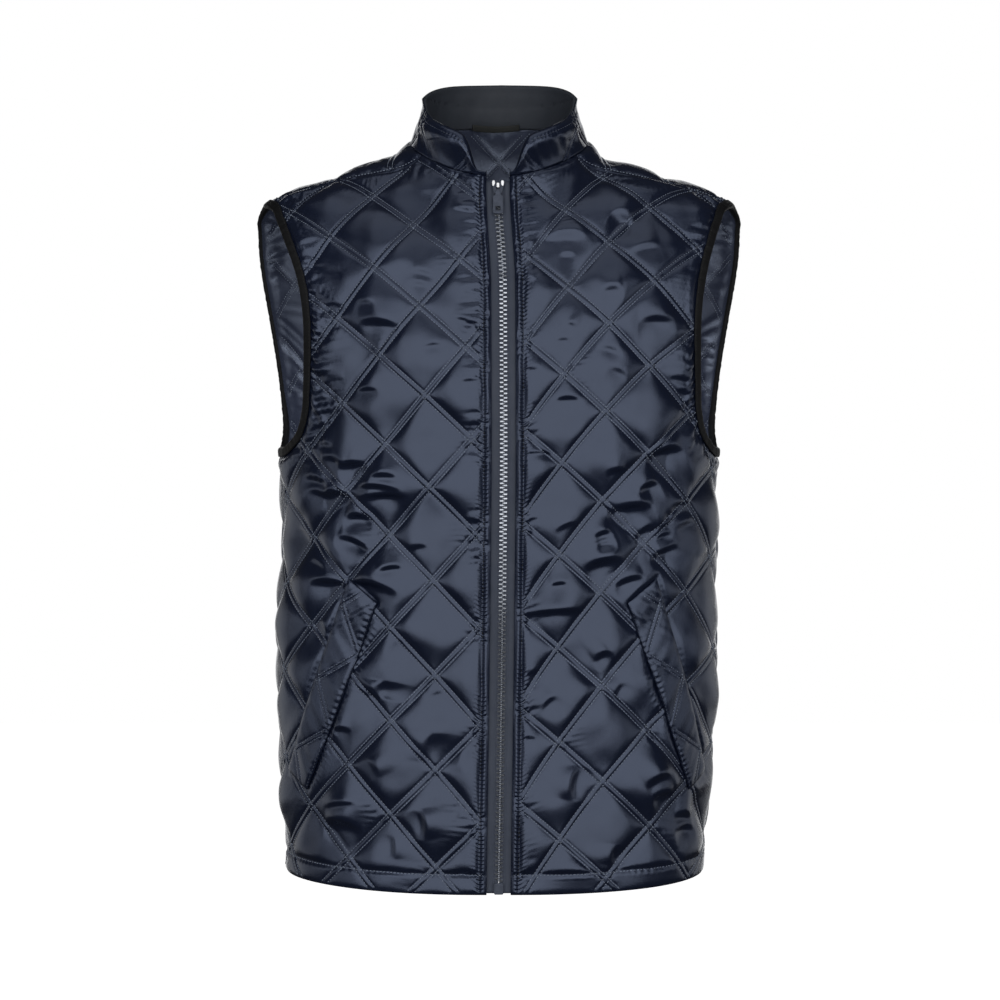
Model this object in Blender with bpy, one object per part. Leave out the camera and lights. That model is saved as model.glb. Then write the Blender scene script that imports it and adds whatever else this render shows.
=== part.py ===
"""Quilted sleeveless zip vest, hollow, as filled out on a general figure.

Metres, +Z up, the front faces -Y.  The origin lies midway between the two
high shoulder points.  Every cloth piece is a wall on one smooth form: a
stack of body sections joined softly to a leaning neck ring.
"""
import bpy
import bmesh
import math
import numpy as np
from mathutils import Vector

for old in list(bpy.data.objects):
    bpy.data.objects.remove(old, do_unlink=True)

# ------------------------------------------------------------------ sizes
GAP = 0.0003            # clear distance between sewn pieces
PANEL_WALL = 0.0035     # two nylon layers with wadding between
COLLAR_WALL = 0.0030
FACING_WALL = 0.0010
BINDING_WALL = 0.0008
BINDING_WIDTH = 0.0076
BINDING_CLEAR = 0.0005
UNDERARM_EASE = 0.0012
TAPE_WALL = 0.0009
EDGE_X = 0.0115         # folded front edge, from the zip's middle line
TAPE_X = 0.0195         # outer edge of the zip tape
CHAIN_X = 0.0042        # half width of the closed chain
CHAIN_DEPTH = 0.0023

HEM_SIDE_Z = -0.7225
HEM_FRONT_DROP = 0.0105
HEM_BACK_DROP = 0.0020

# section, z, half width, front depth, back depth, squareness
SECTIONS = [
    ("below hem", -0.760, 0.2080, 0.131, 0.121, 2.35),
    ("hem",       -0.725, 0.2090, 0.131, 0.121, 2.35),
    ("hip",       -0.600, 0.2155, 0.132, 0.120, 2.35),
    ("waist",     -0.480, 0.2180, 0.130, 0.114, 2.35),
    ("rib",       -0.380, 0.2170, 0.132, 0.118, 2.35),
    ("underarm",  -0.310, 0.2190, 0.137, 0.126, 2.30),
    ("chest",     -0.235, 0.2300, 0.138, 0.132, 2.25),
    ("blade",     -0.170, 0.2420, 0.131, 0.133, 2.20),
    ("yoke",      -0.110, 0.2510, 0.115, 0.125, 2.10),
    ("deltoid",   -0.078, 0.2480, 0.098, 0.114, 2.00),
    ("tip",       -0.056, 0.2280, 0.082, 0.102, 2.00),
    ("slope",     -0.030, 0.1600, 0.064, 0.088, 2.00),
    ("neck foot", -0.004, 0.0880, 0.050, 0.072, 2.00),
    ("neck in",    0.020, 0.0350, 0.030, 0.045, 2.00),
    ("cap",        0.045, 0.0120, 0.012, 0.016, 2.00),
]

# leaning neck: half width and half depth at z 0, their change per metre of
# height, the middle line's y at z 0 and its change per metre
NECK = dict(width=0.0800, width_slope=-0.13, depth=0.0810, depth_slope=-0.15,
            centre=-0.0120, lean=-0.10, floor=-0.055, blend=0.030)
Z_FRONT_NECK, Z_BACK_NECK, NECK_SADDLE = -0.0415, 0.0250, 0.012

# collar: degrees round the neck from the front, height over the neck seam
COLLAR = [(0, 0.0030), (8, 0.0035), (11.5, 0.0042), (14, 0.0090), (17, 0.0195), (20, 0.0285), (24, 0.0342),
          (30, 0.0362), (40, 0.0368), (60, 0.0362), (95, 0.0385), (140, 0.0425), (180, 0.0435)]
COLLAR_LEAN, COLLAR_UNEVEN = 0.30, 0.03   # forward lean of its front, uneven hang of its two ends

SHOULDER_NECK_DEG = 60.0          # where the forward shoulder seam meets the neck
SHOULDER_TIP = (0.2285, -0.0240)  # its outer end, x and y

# armhole edge: z and x down the front, then z and y up the back
ARM_FRONT = [(-0.069, 0.2225), (-0.083, 0.2170), (-0.100, 0.2105), (-0.120, 0.2035),
             (-0.150, 0.1960), (-0.180, 0.1925), (-0.215, 0.1920), (-0.245, 0.1925),
             (-0.270, 0.1940), (-0.290, 0.1995), (-0.3005, 0.2075)]
UNDERARM_Z = -0.3045
ARM_BACK = [(-0.3010, 0.016), (-0.286, 0.030), (-0.258, 0.038), (-0.215, 0.042),
            (-0.160, 0.042), (-0.110, 0.036), (-0.080, 0.024), (-0.064, 0.008)]

# sideways set of the hanging vest: z, shift of the whole, shift of the zip line
SWAY = [(-0.740, -0.0045, 0.0040), (-0.480, -0.0020, 0.0050), (-0.280, 0.0000, 0.0045),
        (-0.150, 0.0000, 0.0040), (-0.050, 0.0000, -0.0010), (0.080, 0.0010, 0.0000)]

# largest folds: face, x, z, degrees from level, length, width, depth
FOLDS = [
    ("front", -0.150, -0.385,  14, 0.150, 0.026, -0.0030),
    ("front",  0.150, -0.400, -16, 0.150, 0.026, -0.0030),
    ("front", -0.120, -0.500,  -8, 0.120, 0.024, -0.0022),
    ("front",  0.125, -0.480,  22, 0.120, 0.024, -0.0024),
    ("back",  -0.110, -0.420,  18, 0.170, 0.030, -0.0035),
    ("back",   0.095, -0.450, -14, 0.170, 0.030, -0.0035),
    ("back",   0.020, -0.560,   5, 0.200, 0.032, -0.0025),
]

# pocket welts: seam from the top end to the low end, then width and wall
WELT_TOP, WELT_LOW = (0.1170, -0.4440), (0.1860, -0.6380)
WELT_WIDTH, WELT_WALL, WELT_LIFT = 0.0370, 0.0025, 0.0006

# zip slider and pull, in the slider's own upright frame
SLIDER_Z = -0.0529
SLIDER_W, SLIDER_H, SLIDER_T, SLIDER_LIFT = 0.0124, 0.0130, 0.0042, 0.0007
BRIDGE_W, BRIDGE_H, BRIDGE_RISE, BRIDGE_T = 0.0022, 0.0056, 0.0020, 0.0008
BAR = 0.0012
TAB_W, TAB_LONG, TAB_T = 0.0098, 0.0286, 0.0013
TAB_SLOT = (0.0048, 0.0044)

# ----------------------------------------------------------- smooth tables
def smooth(xs, ys):
    """Cubic through a short table with no overshoot: value and slope."""
    xs, ys = np.asarray(xs, float), np.asarray(ys, float)
    h = np.diff(xs)
    d = np.diff(ys) / h
    m = np.zeros_like(ys)
    m[0], m[-1] = d[0], d[-1]
    for i in range(1, len(xs) - 1):
        if d[i - 1] * d[i] > 0:
            w1, w2 = 2 * h[i] + h[i - 1], h[i] + 2 * h[i - 1]
            m[i] = (w1 + w2) / (w1 / d[i - 1] + w2 / d[i])

    def at(x):
        x = np.clip(np.asarray(x, float), xs[0], xs[-1])
        i = np.clip(np.searchsorted(xs, x) - 1, 0, len(xs) - 2)
        t = (x - xs[i]) / h[i]
        value = ((1 + 2 * t) * (1 - t) ** 2 * ys[i] + t * (1 - t) ** 2 * h[i] * m[i]
                 + t * t * (3 - 2 * t) * ys[i + 1] + t * t * (t - 1) * h[i] * m[i + 1])
        slope = ((6 * t * t - 6 * t) * (ys[i] - ys[i + 1]) / h[i]
                 + (1 - 4 * t + 3 * t * t) * m[i] + (3 * t * t - 2 * t) * m[i + 1])
        return value, slope
    return at

def column(rows, k):
    return [r[k] for r in rows]

half_width = smooth(column(SECTIONS, 1), column(SECTIONS, 2))
front_depth = smooth(column(SECTIONS, 1), column(SECTIONS, 3))
back_depth = smooth(column(SECTIONS, 1), column(SECTIONS, 4))
squareness = smooth(column(SECTIONS, 1), column(SECTIONS, 5))
collar_height = smooth(np.radians(column(COLLAR, 0)), column(COLLAR, 1))
sway_all = smooth(column(SWAY, 0), column(SWAY, 1))
sway_zip = smooth(column(SWAY, 0), column(SWAY, 2))

# ---------------------------------------------------------------- the form
def torso(p):
    x, y, z = p[..., 0], p[..., 1], p[..., 2]
    a, da = half_width(z)
    n, _ = squareness(z)
    bf, dbf = front_depth(z)
    bb, dbb = back_depth(z)
    b, db = np.where(y < 0, bf, bb), np.where(y < 0, dbf, dbb)
    ex, ey = np.maximum(np.abs(x) / a, 1e-6), np.maximum(np.abs(y) / b, 1e-6)
    sx, sy = ex ** n, ey ** n
    s = np.maximum(sx + sy, 1e-9)
    r = s ** (1 / n)
    gx, gy = r / s * sx / ex / a, r / s * sy / ey / b
    gz = -r / s * (sx * da / a + sy * db / b)
    return (r - 1) / np.sqrt(gx * gx + gy * gy + gz * gz + 1e-9)

def neck_ring(z):
    zc = np.maximum(z, NECK["floor"])
    return (NECK["width"] + NECK["width_slope"] * zc,
            NECK["depth"] + NECK["depth_slope"] * zc,
            NECK["centre"] + NECK["lean"] * zc)

def neck(p):
    a, b, yc = neck_ring(p[..., 2])
    x, y = p[..., 0], p[..., 1] - yc
    r = np.sqrt((x / a) ** 2 + (y / b) ** 2) + 1e-9
    return (r - 1) / np.sqrt((x / a / a / r) ** 2 + (y / b / b / r) ** 2 + 1e-9)

def form(p):
    """Signed distance, about, to the outside of the cloth."""
    d1, d2, k = torso(p), neck(p), NECK["blend"]
    h = np.clip(0.5 + 0.5 * (d2 - d1) / k, 0, 1)
    return d2 * (1 - h) + d1 * h - k * h * (1 - h)

def gradient(p, e=2e-4):
    g = np.empty(p.shape)
    for i in range(3):
        o = np.zeros(3)
        o[i] = e
        g[..., i] = (form(p + o) - form(p - o)) / (2 * e)
    return g

def onto(p, along=None, steps=14):
    """Moves points onto the form, along a direction or straight to it."""
    p = np.array(p, float)
    for _ in range(steps):
        f, g = form(p), gradient(p)
        if along is None:
            step = g * (f / np.maximum((g * g).sum(-1), 1e-9))[..., None]
        else:
            d = np.broadcast_to(along, p.shape)
            gd = (g * d).sum(-1)
            gd = np.where(np.abs(gd) < 0.15, np.where(gd < 0, -0.15, 0.15), gd)
            step = d * (f / gd)[..., None]
        length = np.linalg.norm(step, axis=-1, keepdims=True)
        p = p - step * np.minimum(1, 0.03 / np.maximum(length, 1e-12))
    return p

def normals(p):
    g = gradient(p)
    return g / np.linalg.norm(g, axis=-1, keepdims=True)

def fold_depth(p):
    """Height of the largest folds over the smooth form."""
    h = np.zeros(p.shape[:-1])
    for face, x, z, degrees, length, width, depth in FOLDS:
        c, s = math.cos(math.radians(degrees)), math.sin(math.radians(degrees))
        dx, dz = p[..., 0] - x, p[..., 2] - z
        u, v = (dx * c + dz * s) / (length / 2), (-dx * s + dz * c) / width
        side = 1 / (1 + np.exp((p[..., 1] if face == "front" else -p[..., 1]) / 0.012))
        h += depth * np.exp(-u ** 4 - v * v) * side
    return h

def settle(p, n):
    """Adds the folds and the sideways set; returns the hanging points."""
    q = p + n * fold_depth(p)[..., None]
    front = np.clip(-p[..., 1] / 0.10, 0, 1) ** 2
    q[..., 0] += sway_all(p[..., 2])[0] + sway_zip(p[..., 2])[0] * front
    return q

# ------------------------------------------------------------ edge curves
def evenly(pts, n):
    """n + 1 points evenly spaced along a smooth line through pts."""
    pts = np.asarray(pts, float)
    c = np.r_[0, np.cumsum(np.linalg.norm(np.diff(pts, axis=0), axis=1))]
    m = np.gradient(pts, c, axis=0)
    t = np.linspace(0, c[-1], 40 * len(pts))
    i = np.clip(np.searchsorted(c, t) - 1, 0, len(c) - 2)
    h = (c[i + 1] - c[i])[:, None]
    u = (t - c[i])[:, None] / h
    q = ((1 + 2 * u) * (1 - u) ** 2 * pts[i] + u * (1 - u) ** 2 * h * m[i]
         + u * u * (3 - 2 * u) * pts[i + 1] + u * u * (u - 1) * h * m[i + 1])
    l = np.r_[0, np.cumsum(np.linalg.norm(np.diff(q, axis=0), axis=1))]
    at = np.linspace(0, l[-1], n + 1)
    return np.stack([np.interp(at, l, q[:, k]) for k in range(3)], 1)

def ring_z(phi):
    mid, amp = (Z_FRONT_NECK + Z_BACK_NECK) / 2, (Z_BACK_NECK - Z_FRONT_NECK) / 2
    return mid - amp * np.cos(phi) + NECK_SADDLE * np.sin(phi) ** 2

def round_neck(phi, z):
    phi = np.asarray(phi, float)
    z = np.broadcast_to(z, phi.shape)
    a, b, yc = neck_ring(z)
    d = np.stack([np.sin(phi) * a, -np.cos(phi) * b, 0 * z], -1)
    p = np.stack([0 * z, yc, z], -1) + d * 1.03
    return onto(p, along=d / np.linalg.norm(d, axis=-1, keepdims=True))

def edge_angle():
    """Angle round the neck at which the seam is EDGE_X from the middle."""
    lo, hi = 0.0, 0.5
    for _ in range(40):
        mid = (lo + hi) / 2
        lo, hi = (mid, hi) if round_neck([mid], ring_z(mid))[0, 0] < EDGE_X else (lo, mid)
    return mid

PHI_EDGE = edge_angle()
PHI_SHOULDER = math.radians(SHOULDER_NECK_DEG)

def hem_z(y):
    return np.where(y < 0, HEM_SIDE_Z - HEM_FRONT_DROP * np.clip(-y / 0.13, 0, 1) ** 1.5,
                    HEM_SIDE_Z - HEM_BACK_DROP * np.clip(y / 0.12, 0, 1))

def hem_line(x_from, x_to, back, n):
    """Hem edge from near the middle line to the side seam."""
    sign = 1 if back else -1
    t = np.linspace(0, math.pi / 2, 90)
    p = np.stack([x_from + (x_to - x_from) * np.sin(t), sign * 0.125 * np.cos(t),
                  np.full(t.shape, HEM_SIDE_Z)], 1)
    d = np.stack([np.sin(t), sign * np.cos(t), 0 * t], 1)
    for _ in range(5):
        p = onto(p, along=d, steps=6)
        p[0, 0], p[-1, 1] = x_from, 0.0
        p[:, 2] = hem_z(p[:, 1])
    p[:1] = onto(p[:1], along=np.array([0, 1.0, 0]))
    p[-1:] = onto(p[-1:], along=np.array([1.0, 0, 0]))
    return evenly(p, n)

def upright_line(x, back, z_low, z_high, n):
    z = np.linspace(z_low, z_high, 60)
    p = np.stack([np.full(60, x), np.full(60, 0.12 if back else -0.12), z], 1)
    return evenly(onto(p, along=np.array([0, 1.0, 0])), n)

def side_seam(n):
    z = np.linspace(HEM_SIDE_Z, UNDERARM_Z, 50)
    p = np.stack([np.full(50, 0.21), np.zeros(50), z], 1)
    return evenly(onto(p, along=np.array([1.0, 0, 0])), n)

TIP = onto(np.array([[SHOULDER_TIP[0], SHOULDER_TIP[1], -0.05]]), along=np.array([0, 0, 1.0]))[0]
UNDERARM = onto(np.array([[0.22, 0, UNDERARM_Z]]), along=np.array([1.0, 0, 0]))[0]

def armhole(back, n):
    """Armhole edge from the underarm up to the shoulder seam's tip."""
    if back:
        mid = onto(np.array([[0.23, y, z] for z, y in ARM_BACK]), along=np.array([1.0, 0, 0]))
    else:
        mid = onto(np.array([[x, -0.08, z] for z, x in ARM_FRONT[::-1]]), along=np.array([0, 1.0, 0]))
    return onto(evenly(np.vstack([UNDERARM, mid, TIP]), n))

def shoulder_seam(n):
    a = round_neck([PHI_SHOULDER], ring_z(PHI_SHOULDER))[0]
    t = np.linspace(0, 1, 40)[:, None]
    return evenly(onto(a * (1 - t) + TIP * t, along=np.array([0, 0, 1.0])), n)

def neck_seam(phi):
    return round_neck(phi, ring_z(phi))

def collar_points(phi, t):
    """Points of the collar, t from its seam to its top edge, and its height."""
    turn = np.minimum(phi, 2 * math.pi - phi)
    h = collar_height(turn + np.where(phi < math.pi, COLLAR_UNEVEN, -COLLAR_UNEVEN))[0]
    p = round_neck(phi, ring_z(phi) + h * t)
    w = np.clip((1.75 - turn) / 1.05, 0, 1)
    p[:, 1] -= COLLAR_LEAN * h * t * w * w * (3 - 2 * w)
    return p, h

# --------------------------------------------------------- panels of cloth
def span(low, high, left, right, s):
    """Grid between four edges that meet at their ends, laid on the form."""
    n = len(left) - 1
    t = np.linspace(0, 1, n + 1)[:, None, None]
    s3 = s[None, :, None]
    ruled = left[:, None] * (1 - s3) + right[:, None] * s3
    ruled2 = low[None] * (1 - t) + high[None] * t
    corner = ((low[0] * (1 - s3) + low[-1] * s3) * (1 - t)
              + (high[0] * (1 - s3) + high[-1] * s3) * t)
    p = onto(ruled + ruled2 - corner)
    p[0], p[-1], p[:, 0], p[:, -1] = low, high, left, right
    return p

def at_fractions(line, s):
    l = np.linspace(0, 1, len(line))
    return np.stack([np.interp(s, l, line[:, k]) for k in range(3)], 1)

ROWS_SIDE, ROWS_ARM, COLS = 12, 18, 9
MIDDLE_AT_UNDERARM = -0.405     # rows rise from the middle line to the underarm
ROWS_NECK = {"front": 6, "back": 9}
# the fronts, the back and the collar share these places on the neck seam
PHI_FRONT = np.linspace(PHI_EDGE, PHI_SHOULDER, ROWS_NECK["front"] + 1)
PHI_BACK = np.linspace(math.pi, PHI_SHOULDER, ROWS_NECK["back"] + 1)

def half_panel(back):
    """Front from the zip edge, or half the back from its middle line."""
    rows = ROWS_SIDE + ROWS_ARM
    mid_x = 0.0 if back else EDGE_X
    neck_rows = ROWS_NECK["back" if back else "front"]
    ring = neck_seam(PHI_BACK if back else PHI_FRONT)
    hem = hem_line(mid_x, UNDERARM[0], back, 200)
    below = upright_line(mid_x, back, hem[0, 2], MIDDLE_AT_UNDERARM, ROWS_SIDE)
    above = upright_line(mid_x, back, MIDDLE_AT_UNDERARM, ring[0, 2], ROWS_ARM - neck_rows)
    left = np.vstack([below[:-1], above[:-1], ring])
    right = np.vstack([side_seam(ROWS_SIDE)[:-1], armhole(back, ROWS_ARM)])
    left[0], right[0] = hem[0], hem[-1]
    seam = shoulder_seam(200)
    left[-1], right[-1] = seam[0], seam[-1]
    # a strip BINDING_WIDTH wide runs along the side seam and the armhole
    inner = strip_line(right, left.mean(0))
    s = np.linspace(0, 1, COLS)
    low = at_fractions(hem, s * (1 - BINDING_WIDTH / line_length(hem)))
    high = at_fractions(seam, s * (1 - BINDING_WIDTH / line_length(seam)))
    inner[0], inner[-1] = low[-1], high[-1]
    return np.concatenate([span(low, high, left, inner, s), right[:, None]], axis=1)

def line_length(line):
    return np.linalg.norm(np.diff(line, axis=0), axis=1).sum()

def strip_line(edge, inside):
    """The edge drawn in by BINDING_WIDTH, mitred at the underarm corner."""
    n = normals(edge)
    d = np.diff(edge, axis=0)
    w = np.cross((n[1:] + n[:-1]) / 2, d)
    w /= np.linalg.norm(w, axis=1, keepdims=True)
    if np.dot(w[0], inside - edge[0]) < 0:
        w = -w
    before, after = np.vstack([w[:1], w]), np.vstack([w, w[-1:]])
    dot = (before * after).sum(1, keepdims=True)
    return onto(edge + (before + after) / np.maximum(1 + dot, 0.6) * BINDING_WIDTH)

def grid_faces(rows, cols, start=0):
    return [(start + j * cols + i, start + j * cols + i + 1,
             start + (j + 1) * cols + i + 1, start + (j + 1) * cols + i)
            for j in range(rows - 1) for i in range(cols - 1)]

def inset_edges(p, n, faces, distance):
    """Draws the open edges of a patch in by a distance along the cloth."""
    used = {}
    for f in faces:
        for a, b in zip(f, f[1:] + f[:1]):
            used[(a, b)] = used.get((a, b), 0) + 1
    q = p.copy()
    push = {}
    for (a, b) in used:
        if (b, a) in used:
            continue
        e = p[b] - p[a]
        w = np.cross(n[a] + n[b], e)
        w /= np.linalg.norm(w)
        for v in (a, b):
            push.setdefault(v, []).append(w)
    sign = 1.0
    any_edge = next((a, b) for (a, b) in used if (b, a) not in used)
    face = next(f for f in faces if any_edge[0] in f and any_edge[1] in f)
    if np.dot(p[list(face)].mean(0) - p[any_edge[0]], push[any_edge[0]][0]) < 0:
        sign = -1.0
    for v, ws in push.items():
        if len(ws) == 2:
            m = (ws[0] + ws[1]) / max(1 + float(np.dot(ws[0], ws[1])), 0.5)
        else:
            m = ws[0]
        q[v] = p[v] + m * distance * sign
    return q

# -------------------------------------------------------- solids, finishes
def finish(name, colour, roughness, metallic=0.0):
    m = bpy.data.materials.new(name)
    m.use_nodes = True
    b = m.node_tree.nodes["Principled BSDF"]
    b.inputs["Base Color"].default_value = (*colour, 1.0)
    b.inputs["Roughness"].default_value = roughness
    b.inputs["Metallic"].default_value = metallic
    m.diffuse_color = (*colour, 1.0)
    return m

NAVY = finish("navy_nylon", (0.030, 0.036, 0.058), 0.40)
LINING = finish("dark_facing", (0.016, 0.018, 0.024), 0.55)
BLACK = finish("black_binding", (0.012, 0.013, 0.015), 0.60)
TAPE = finish("navy_zip_tape", (0.026, 0.030, 0.044), 0.70)
TEETH = finish("grey_zip_teeth", (0.18, 0.19, 0.21), 0.35)
METAL = finish("bright_slider", (0.55, 0.56, 0.58), 0.28, 1.0)
PULL = finish("dark_pull", (0.040, 0.046, 0.062), 0.40, 0.4)

def add_solid(name, verts, faces, material, smooth_faces=True):
    me = bpy.data.meshes.new(name)
    me.from_pydata([tuple(map(float, v)) for v in verts], [], [tuple(f) for f in faces])
    bm = bmesh.new()
    bm.from_mesh(me)
    bmesh.ops.recalc_face_normals(bm, faces=bm.faces)
    if bm.calc_volume(signed=True) < 0:
        bmesh.ops.reverse_faces(bm, faces=bm.faces)
    for f in bm.faces:
        f.smooth = smooth_faces
    bm.to_mesh(me)
    bm.free()
    me.materials.append(material)
    ob = bpy.data.objects.new(name, me)
    bpy.context.scene.collection.objects.link(ob)
    return ob

def wall(name, p, n, faces, outer, inner, material):
    """Closed wall over a patch, between two heights along its normals."""
    a, b = p + n * outer, p + n * inner
    k = len(p)
    used = set()
    for f in faces:
        for e in zip(f, f[1:] + f[:1]):
            used.add(e)
    rim = [(v, u, u + k, v + k) for (u, v) in used if (v, u) not in used]
    back = [tuple(i + k for i in f[:1] + f[:0:-1]) for f in faces]
    return add_solid(name, np.vstack([a, b]), list(faces) + back + rim, material)

def mirrored(p):
    return p * np.array([-1.0, 1.0, 1.0])

def cloth_patch(grid):
    """Points and normals of a grid of the form, as it hangs."""
    flat = grid.reshape(-1, 3)
    n = normals(flat)
    return flat, n

# fronts ---------------------------------------------------------------
front_grid = half_panel(False)
rows_f, cols_f = front_grid.shape[:2]
front_faces = grid_faces(rows_f, cols_f)
hung = {}
for name, sign in (("front_left", 1), ("front_right", -1)):
    p, n = cloth_patch(front_grid)
    p = inset_edges(p, n, front_faces, GAP / 2)
    if sign < 0:
        p, n = mirrored(p), mirrored(n)
    q = settle(p, n)
    hung[name] = (q, n)
    wall(name, q, n, front_faces, 0.0, -PANEL_WALL, NAVY)

# back: two halves joined on the middle line below the neck seam ---------
back_grid = half_panel(True)
rows_b, cols_b = back_grid.shape[:2]
joined_rows = rows_b - ROWS_NECK["back"]
p1, n1 = cloth_patch(back_grid)
count = len(p1)
other = {}
extra = []
for j in range(rows_b):
    for i in range(cols_b):
        v = j * cols_b + i
        if i == 0 and j < joined_rows:
            other[v] = v
        else:
            other[v] = count + len(extra)
            extra.append(v)
half_faces = grid_faces(rows_b, cols_b)
back_faces = [tuple(reversed(f)) for f in half_faces] + [tuple(other[v] for v in f[1:] + f[:1]) for f in half_faces]
p = np.vstack([p1, mirrored(p1[extra])])
n = np.vstack([n1, mirrored(n1[extra])])
p = inset_edges(p, n, back_faces, GAP / 2)
q = settle(p, n)
hung["back"] = (q, n)
wall("back", q, n, back_faces, 0.0, -PANEL_WALL, NAVY)

# collar and its facing ----------------------------------------------------
COLLAR_ROWS = 4
def collar_patch():
    half = np.r_[PHI_FRONT[:-1], PHI_BACK[::-1]]
    phi = np.r_[half, 2 * math.pi - half[-2::-1]]
    return np.array([collar_points(phi, t)[0] for t in np.linspace(0, 1, COLLAR_ROWS + 1)])

collar_grid = collar_patch()
collar_faces = grid_faces(*collar_grid.shape[:2])
p, n = cloth_patch(collar_grid)
p = inset_edges(p, n, collar_faces, GAP)
q = settle(p, n)
wall("collar_outer", q, n, collar_faces, 0.0, -COLLAR_WALL, NAVY)
facing_out = -COLLAR_WALL - GAP
wall("collar_facing", q, n, collar_faces, facing_out, facing_out - FACING_WALL, LINING)

# hanger loop inside the back neck -------------------------------------------
phi = np.linspace(math.radians(160), math.radians(200), 9)
loop_rows = [round_neck(phi, ring_z(phi) + dz) for dz in (0.0020, 0.0085)]
p, n = cloth_patch(np.array(loop_rows))
q = settle(p, n)
loop_out = facing_out - FACING_WALL - 2 * GAP
wall("hanger_loop", q, n, grid_faces(2, 9), loop_out, loop_out - 0.0014, BLACK)

# armhole bindings: a U over the edge of both panels ---------------------------
def binding(name, front, side):
    qf, nf = hung[front]
    qb, nb = hung["back"]
    stations = []
    def under(q, n, e, below):
        """Underarm station: the leg lies down the side seam."""
        down = q[below] - q[e]
        return (q[e], q[e] + down * (BINDING_WIDTH / np.linalg.norm(down)), n[e], n[e])
    e = ROWS_SIDE * cols_f + cols_f - 1
    stations.append(under(qf, nf, e, e - cols_f))
    for j in range(ROWS_SIDE + 1, rows_f):
        e = j * cols_f + cols_f - 1
        stations.append((qf[e], qf[e - 1], nf[e], nf[e - 1]))
    for j in range(rows_b - 1, ROWS_SIDE - 1, -1):
        e = j * cols_b + cols_b - 1
        c, below = e - 1, e - cols_b
        if side < 0:
            e, c, below = other[e], other[c], other[below]
        if j == ROWS_SIDE:
            stations.append(under(qb, nb, e, below))
        else:
            stations.append((qb[e], qb[c], nb[e], nb[c]))
    verts = []
    for i, (e, c, ne, nc) in enumerate(stations):
        out = e - c
        out = out - ne * np.dot(out, ne)
        out /= np.linalg.norm(out)
        c = c + out * 0.0006
        near, far = BINDING_CLEAR, BINDING_CLEAR + BINDING_WALL
        # the inner leg stands off a little more where the underarm turns
        deep = -PANEL_WALL - UNDERARM_EASE * max(0.0, 1 - min(i, len(stations) - 1 - i) / 4)
        verts += [c + nc * near, e + ne * near + out * near,
                  e + ne * (deep - near) + out * near, c + nc * (deep - near),
                  c + nc * (deep - far), e + ne * (deep - far) + out * far,
                  e + ne * far + out * far, c + nc * far]
    m = len(stations)
    faces = []
    for i in range(m):
        for k in range(8):
            here, there, l = 8 * i, 8 * ((i + 1) % m), (k + 1) % 8
            f = (here + k, here + l, there + l, there + k)
            # both legs split the same way as the panel facets they lie on
            faces.append(f[1:] + f[:1] if k == 2 else f)
    return add_solid(name, verts, faces, BLACK)

binding("armhole_binding_left", "front_left", 1)
binding("armhole_binding_right", "front_right", -1)

# zip tapes, chain, box ---------------------------------------------------------
zip_z = front_grid[:rows_f - ROWS_NECK["front"], 0, 2].copy()
zip_z[0] += 0.0015
zip_z[-1] -= 0.0020
def zip_patch(xs, zs):
    p = np.array([[[x, -0.12, z] for x in xs] for z in zs])
    return cloth_patch(onto(p, along=np.array([0, 1.0, 0])))

chain_low = zip_z[0] + 0.0105
chain_high = SLIDER_Z - SLIDER_H / 2 - 2 * GAP
tape_z = np.sort(np.r_[zip_z[(np.abs(zip_z - chain_low) > 0.004) & (np.abs(zip_z - chain_high) > 0.004)],
                       chain_low, chain_high])
chain_z = tape_z[(tape_z > chain_low - 1e-9) & (tape_z < chain_high + 1e-9)]
tape_out = -PANEL_WALL - 2 * GAP
for name, sign in (("zip_tape_left", 1), ("zip_tape_right", -1)):
    p, n = zip_patch((GAP / 2, EDGE_X, TAPE_X), tape_z)
    if sign < 0:
        p, n = mirrored(p), mirrored(n)
    wall(name, settle(p, n), n, grid_faces(len(tape_z), 3), tape_out, tape_out - TAPE_WALL, TAPE)

p, n = zip_patch((-CHAIN_X, 0.0, CHAIN_X), chain_z)
chain_in = tape_out + GAP
wall("zip_chain", settle(p, n), n, grid_faces(len(chain_z), 3), chain_in + CHAIN_DEPTH, chain_in, TEETH)

p, n = zip_patch((-CHAIN_X - 0.0004, 0.0, CHAIN_X + 0.0004), (zip_z[0] + 0.0004, chain_low - GAP))
wall("zip_box", settle(p, n), n, grid_faces(2, 3), chain_in + CHAIN_DEPTH + 0.0008, chain_in, PULL)

# pocket welts lie on the fronts --------------------------------------------------
WELT_ROWS, WELT_COLS = 9, 4
def welt_patch():
    t = np.linspace(0, 1, WELT_ROWS + 1)[:, None]
    a, b = np.array(WELT_TOP), np.array(WELT_LOW)
    line = a * (1 - t) + b * t
    p = onto(np.stack([line[:, 0], np.full(len(line), -0.11), line[:, 1]], 1), along=np.array([0, 1.0, 0]))
    rows = [p]
    along = np.gradient(p, axis=0)
    for _ in range(WELT_COLS):
        n = normals(rows[-1])
        across = np.cross(n, along)
        across /= np.linalg.norm(across, axis=1, keepdims=True)
        across *= np.sign(across[:, :1])
        rows.append(onto(rows[-1] + across * (WELT_WIDTH / WELT_COLS)))
    return np.array(rows)

welt_grid = welt_patch()
for name, sign in (("pocket_welt_left", 1), ("pocket_welt_right", -1)):
    p, n = cloth_patch(welt_grid)
    if sign < 0:
        p, n = mirrored(p), mirrored(n)
    wall(name, settle(p, n), n, grid_faces(*welt_grid.shape[:2]), WELT_LIFT + WELT_WALL, WELT_LIFT, NAVY)

# slider and its pull --------------------------------------------------------------
p, n = zip_patch((0.0,), (SLIDER_Z,))
slider_at = settle(p, n)[0] + n[0] * (tape_out + SLIDER_LIFT)
face_out = n[0]
face_up = np.cross(np.array([1.0, 0, 0]), face_out)
face_up = face_up if face_up[2] > 0 else -face_up
face_up /= np.linalg.norm(face_up)

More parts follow.
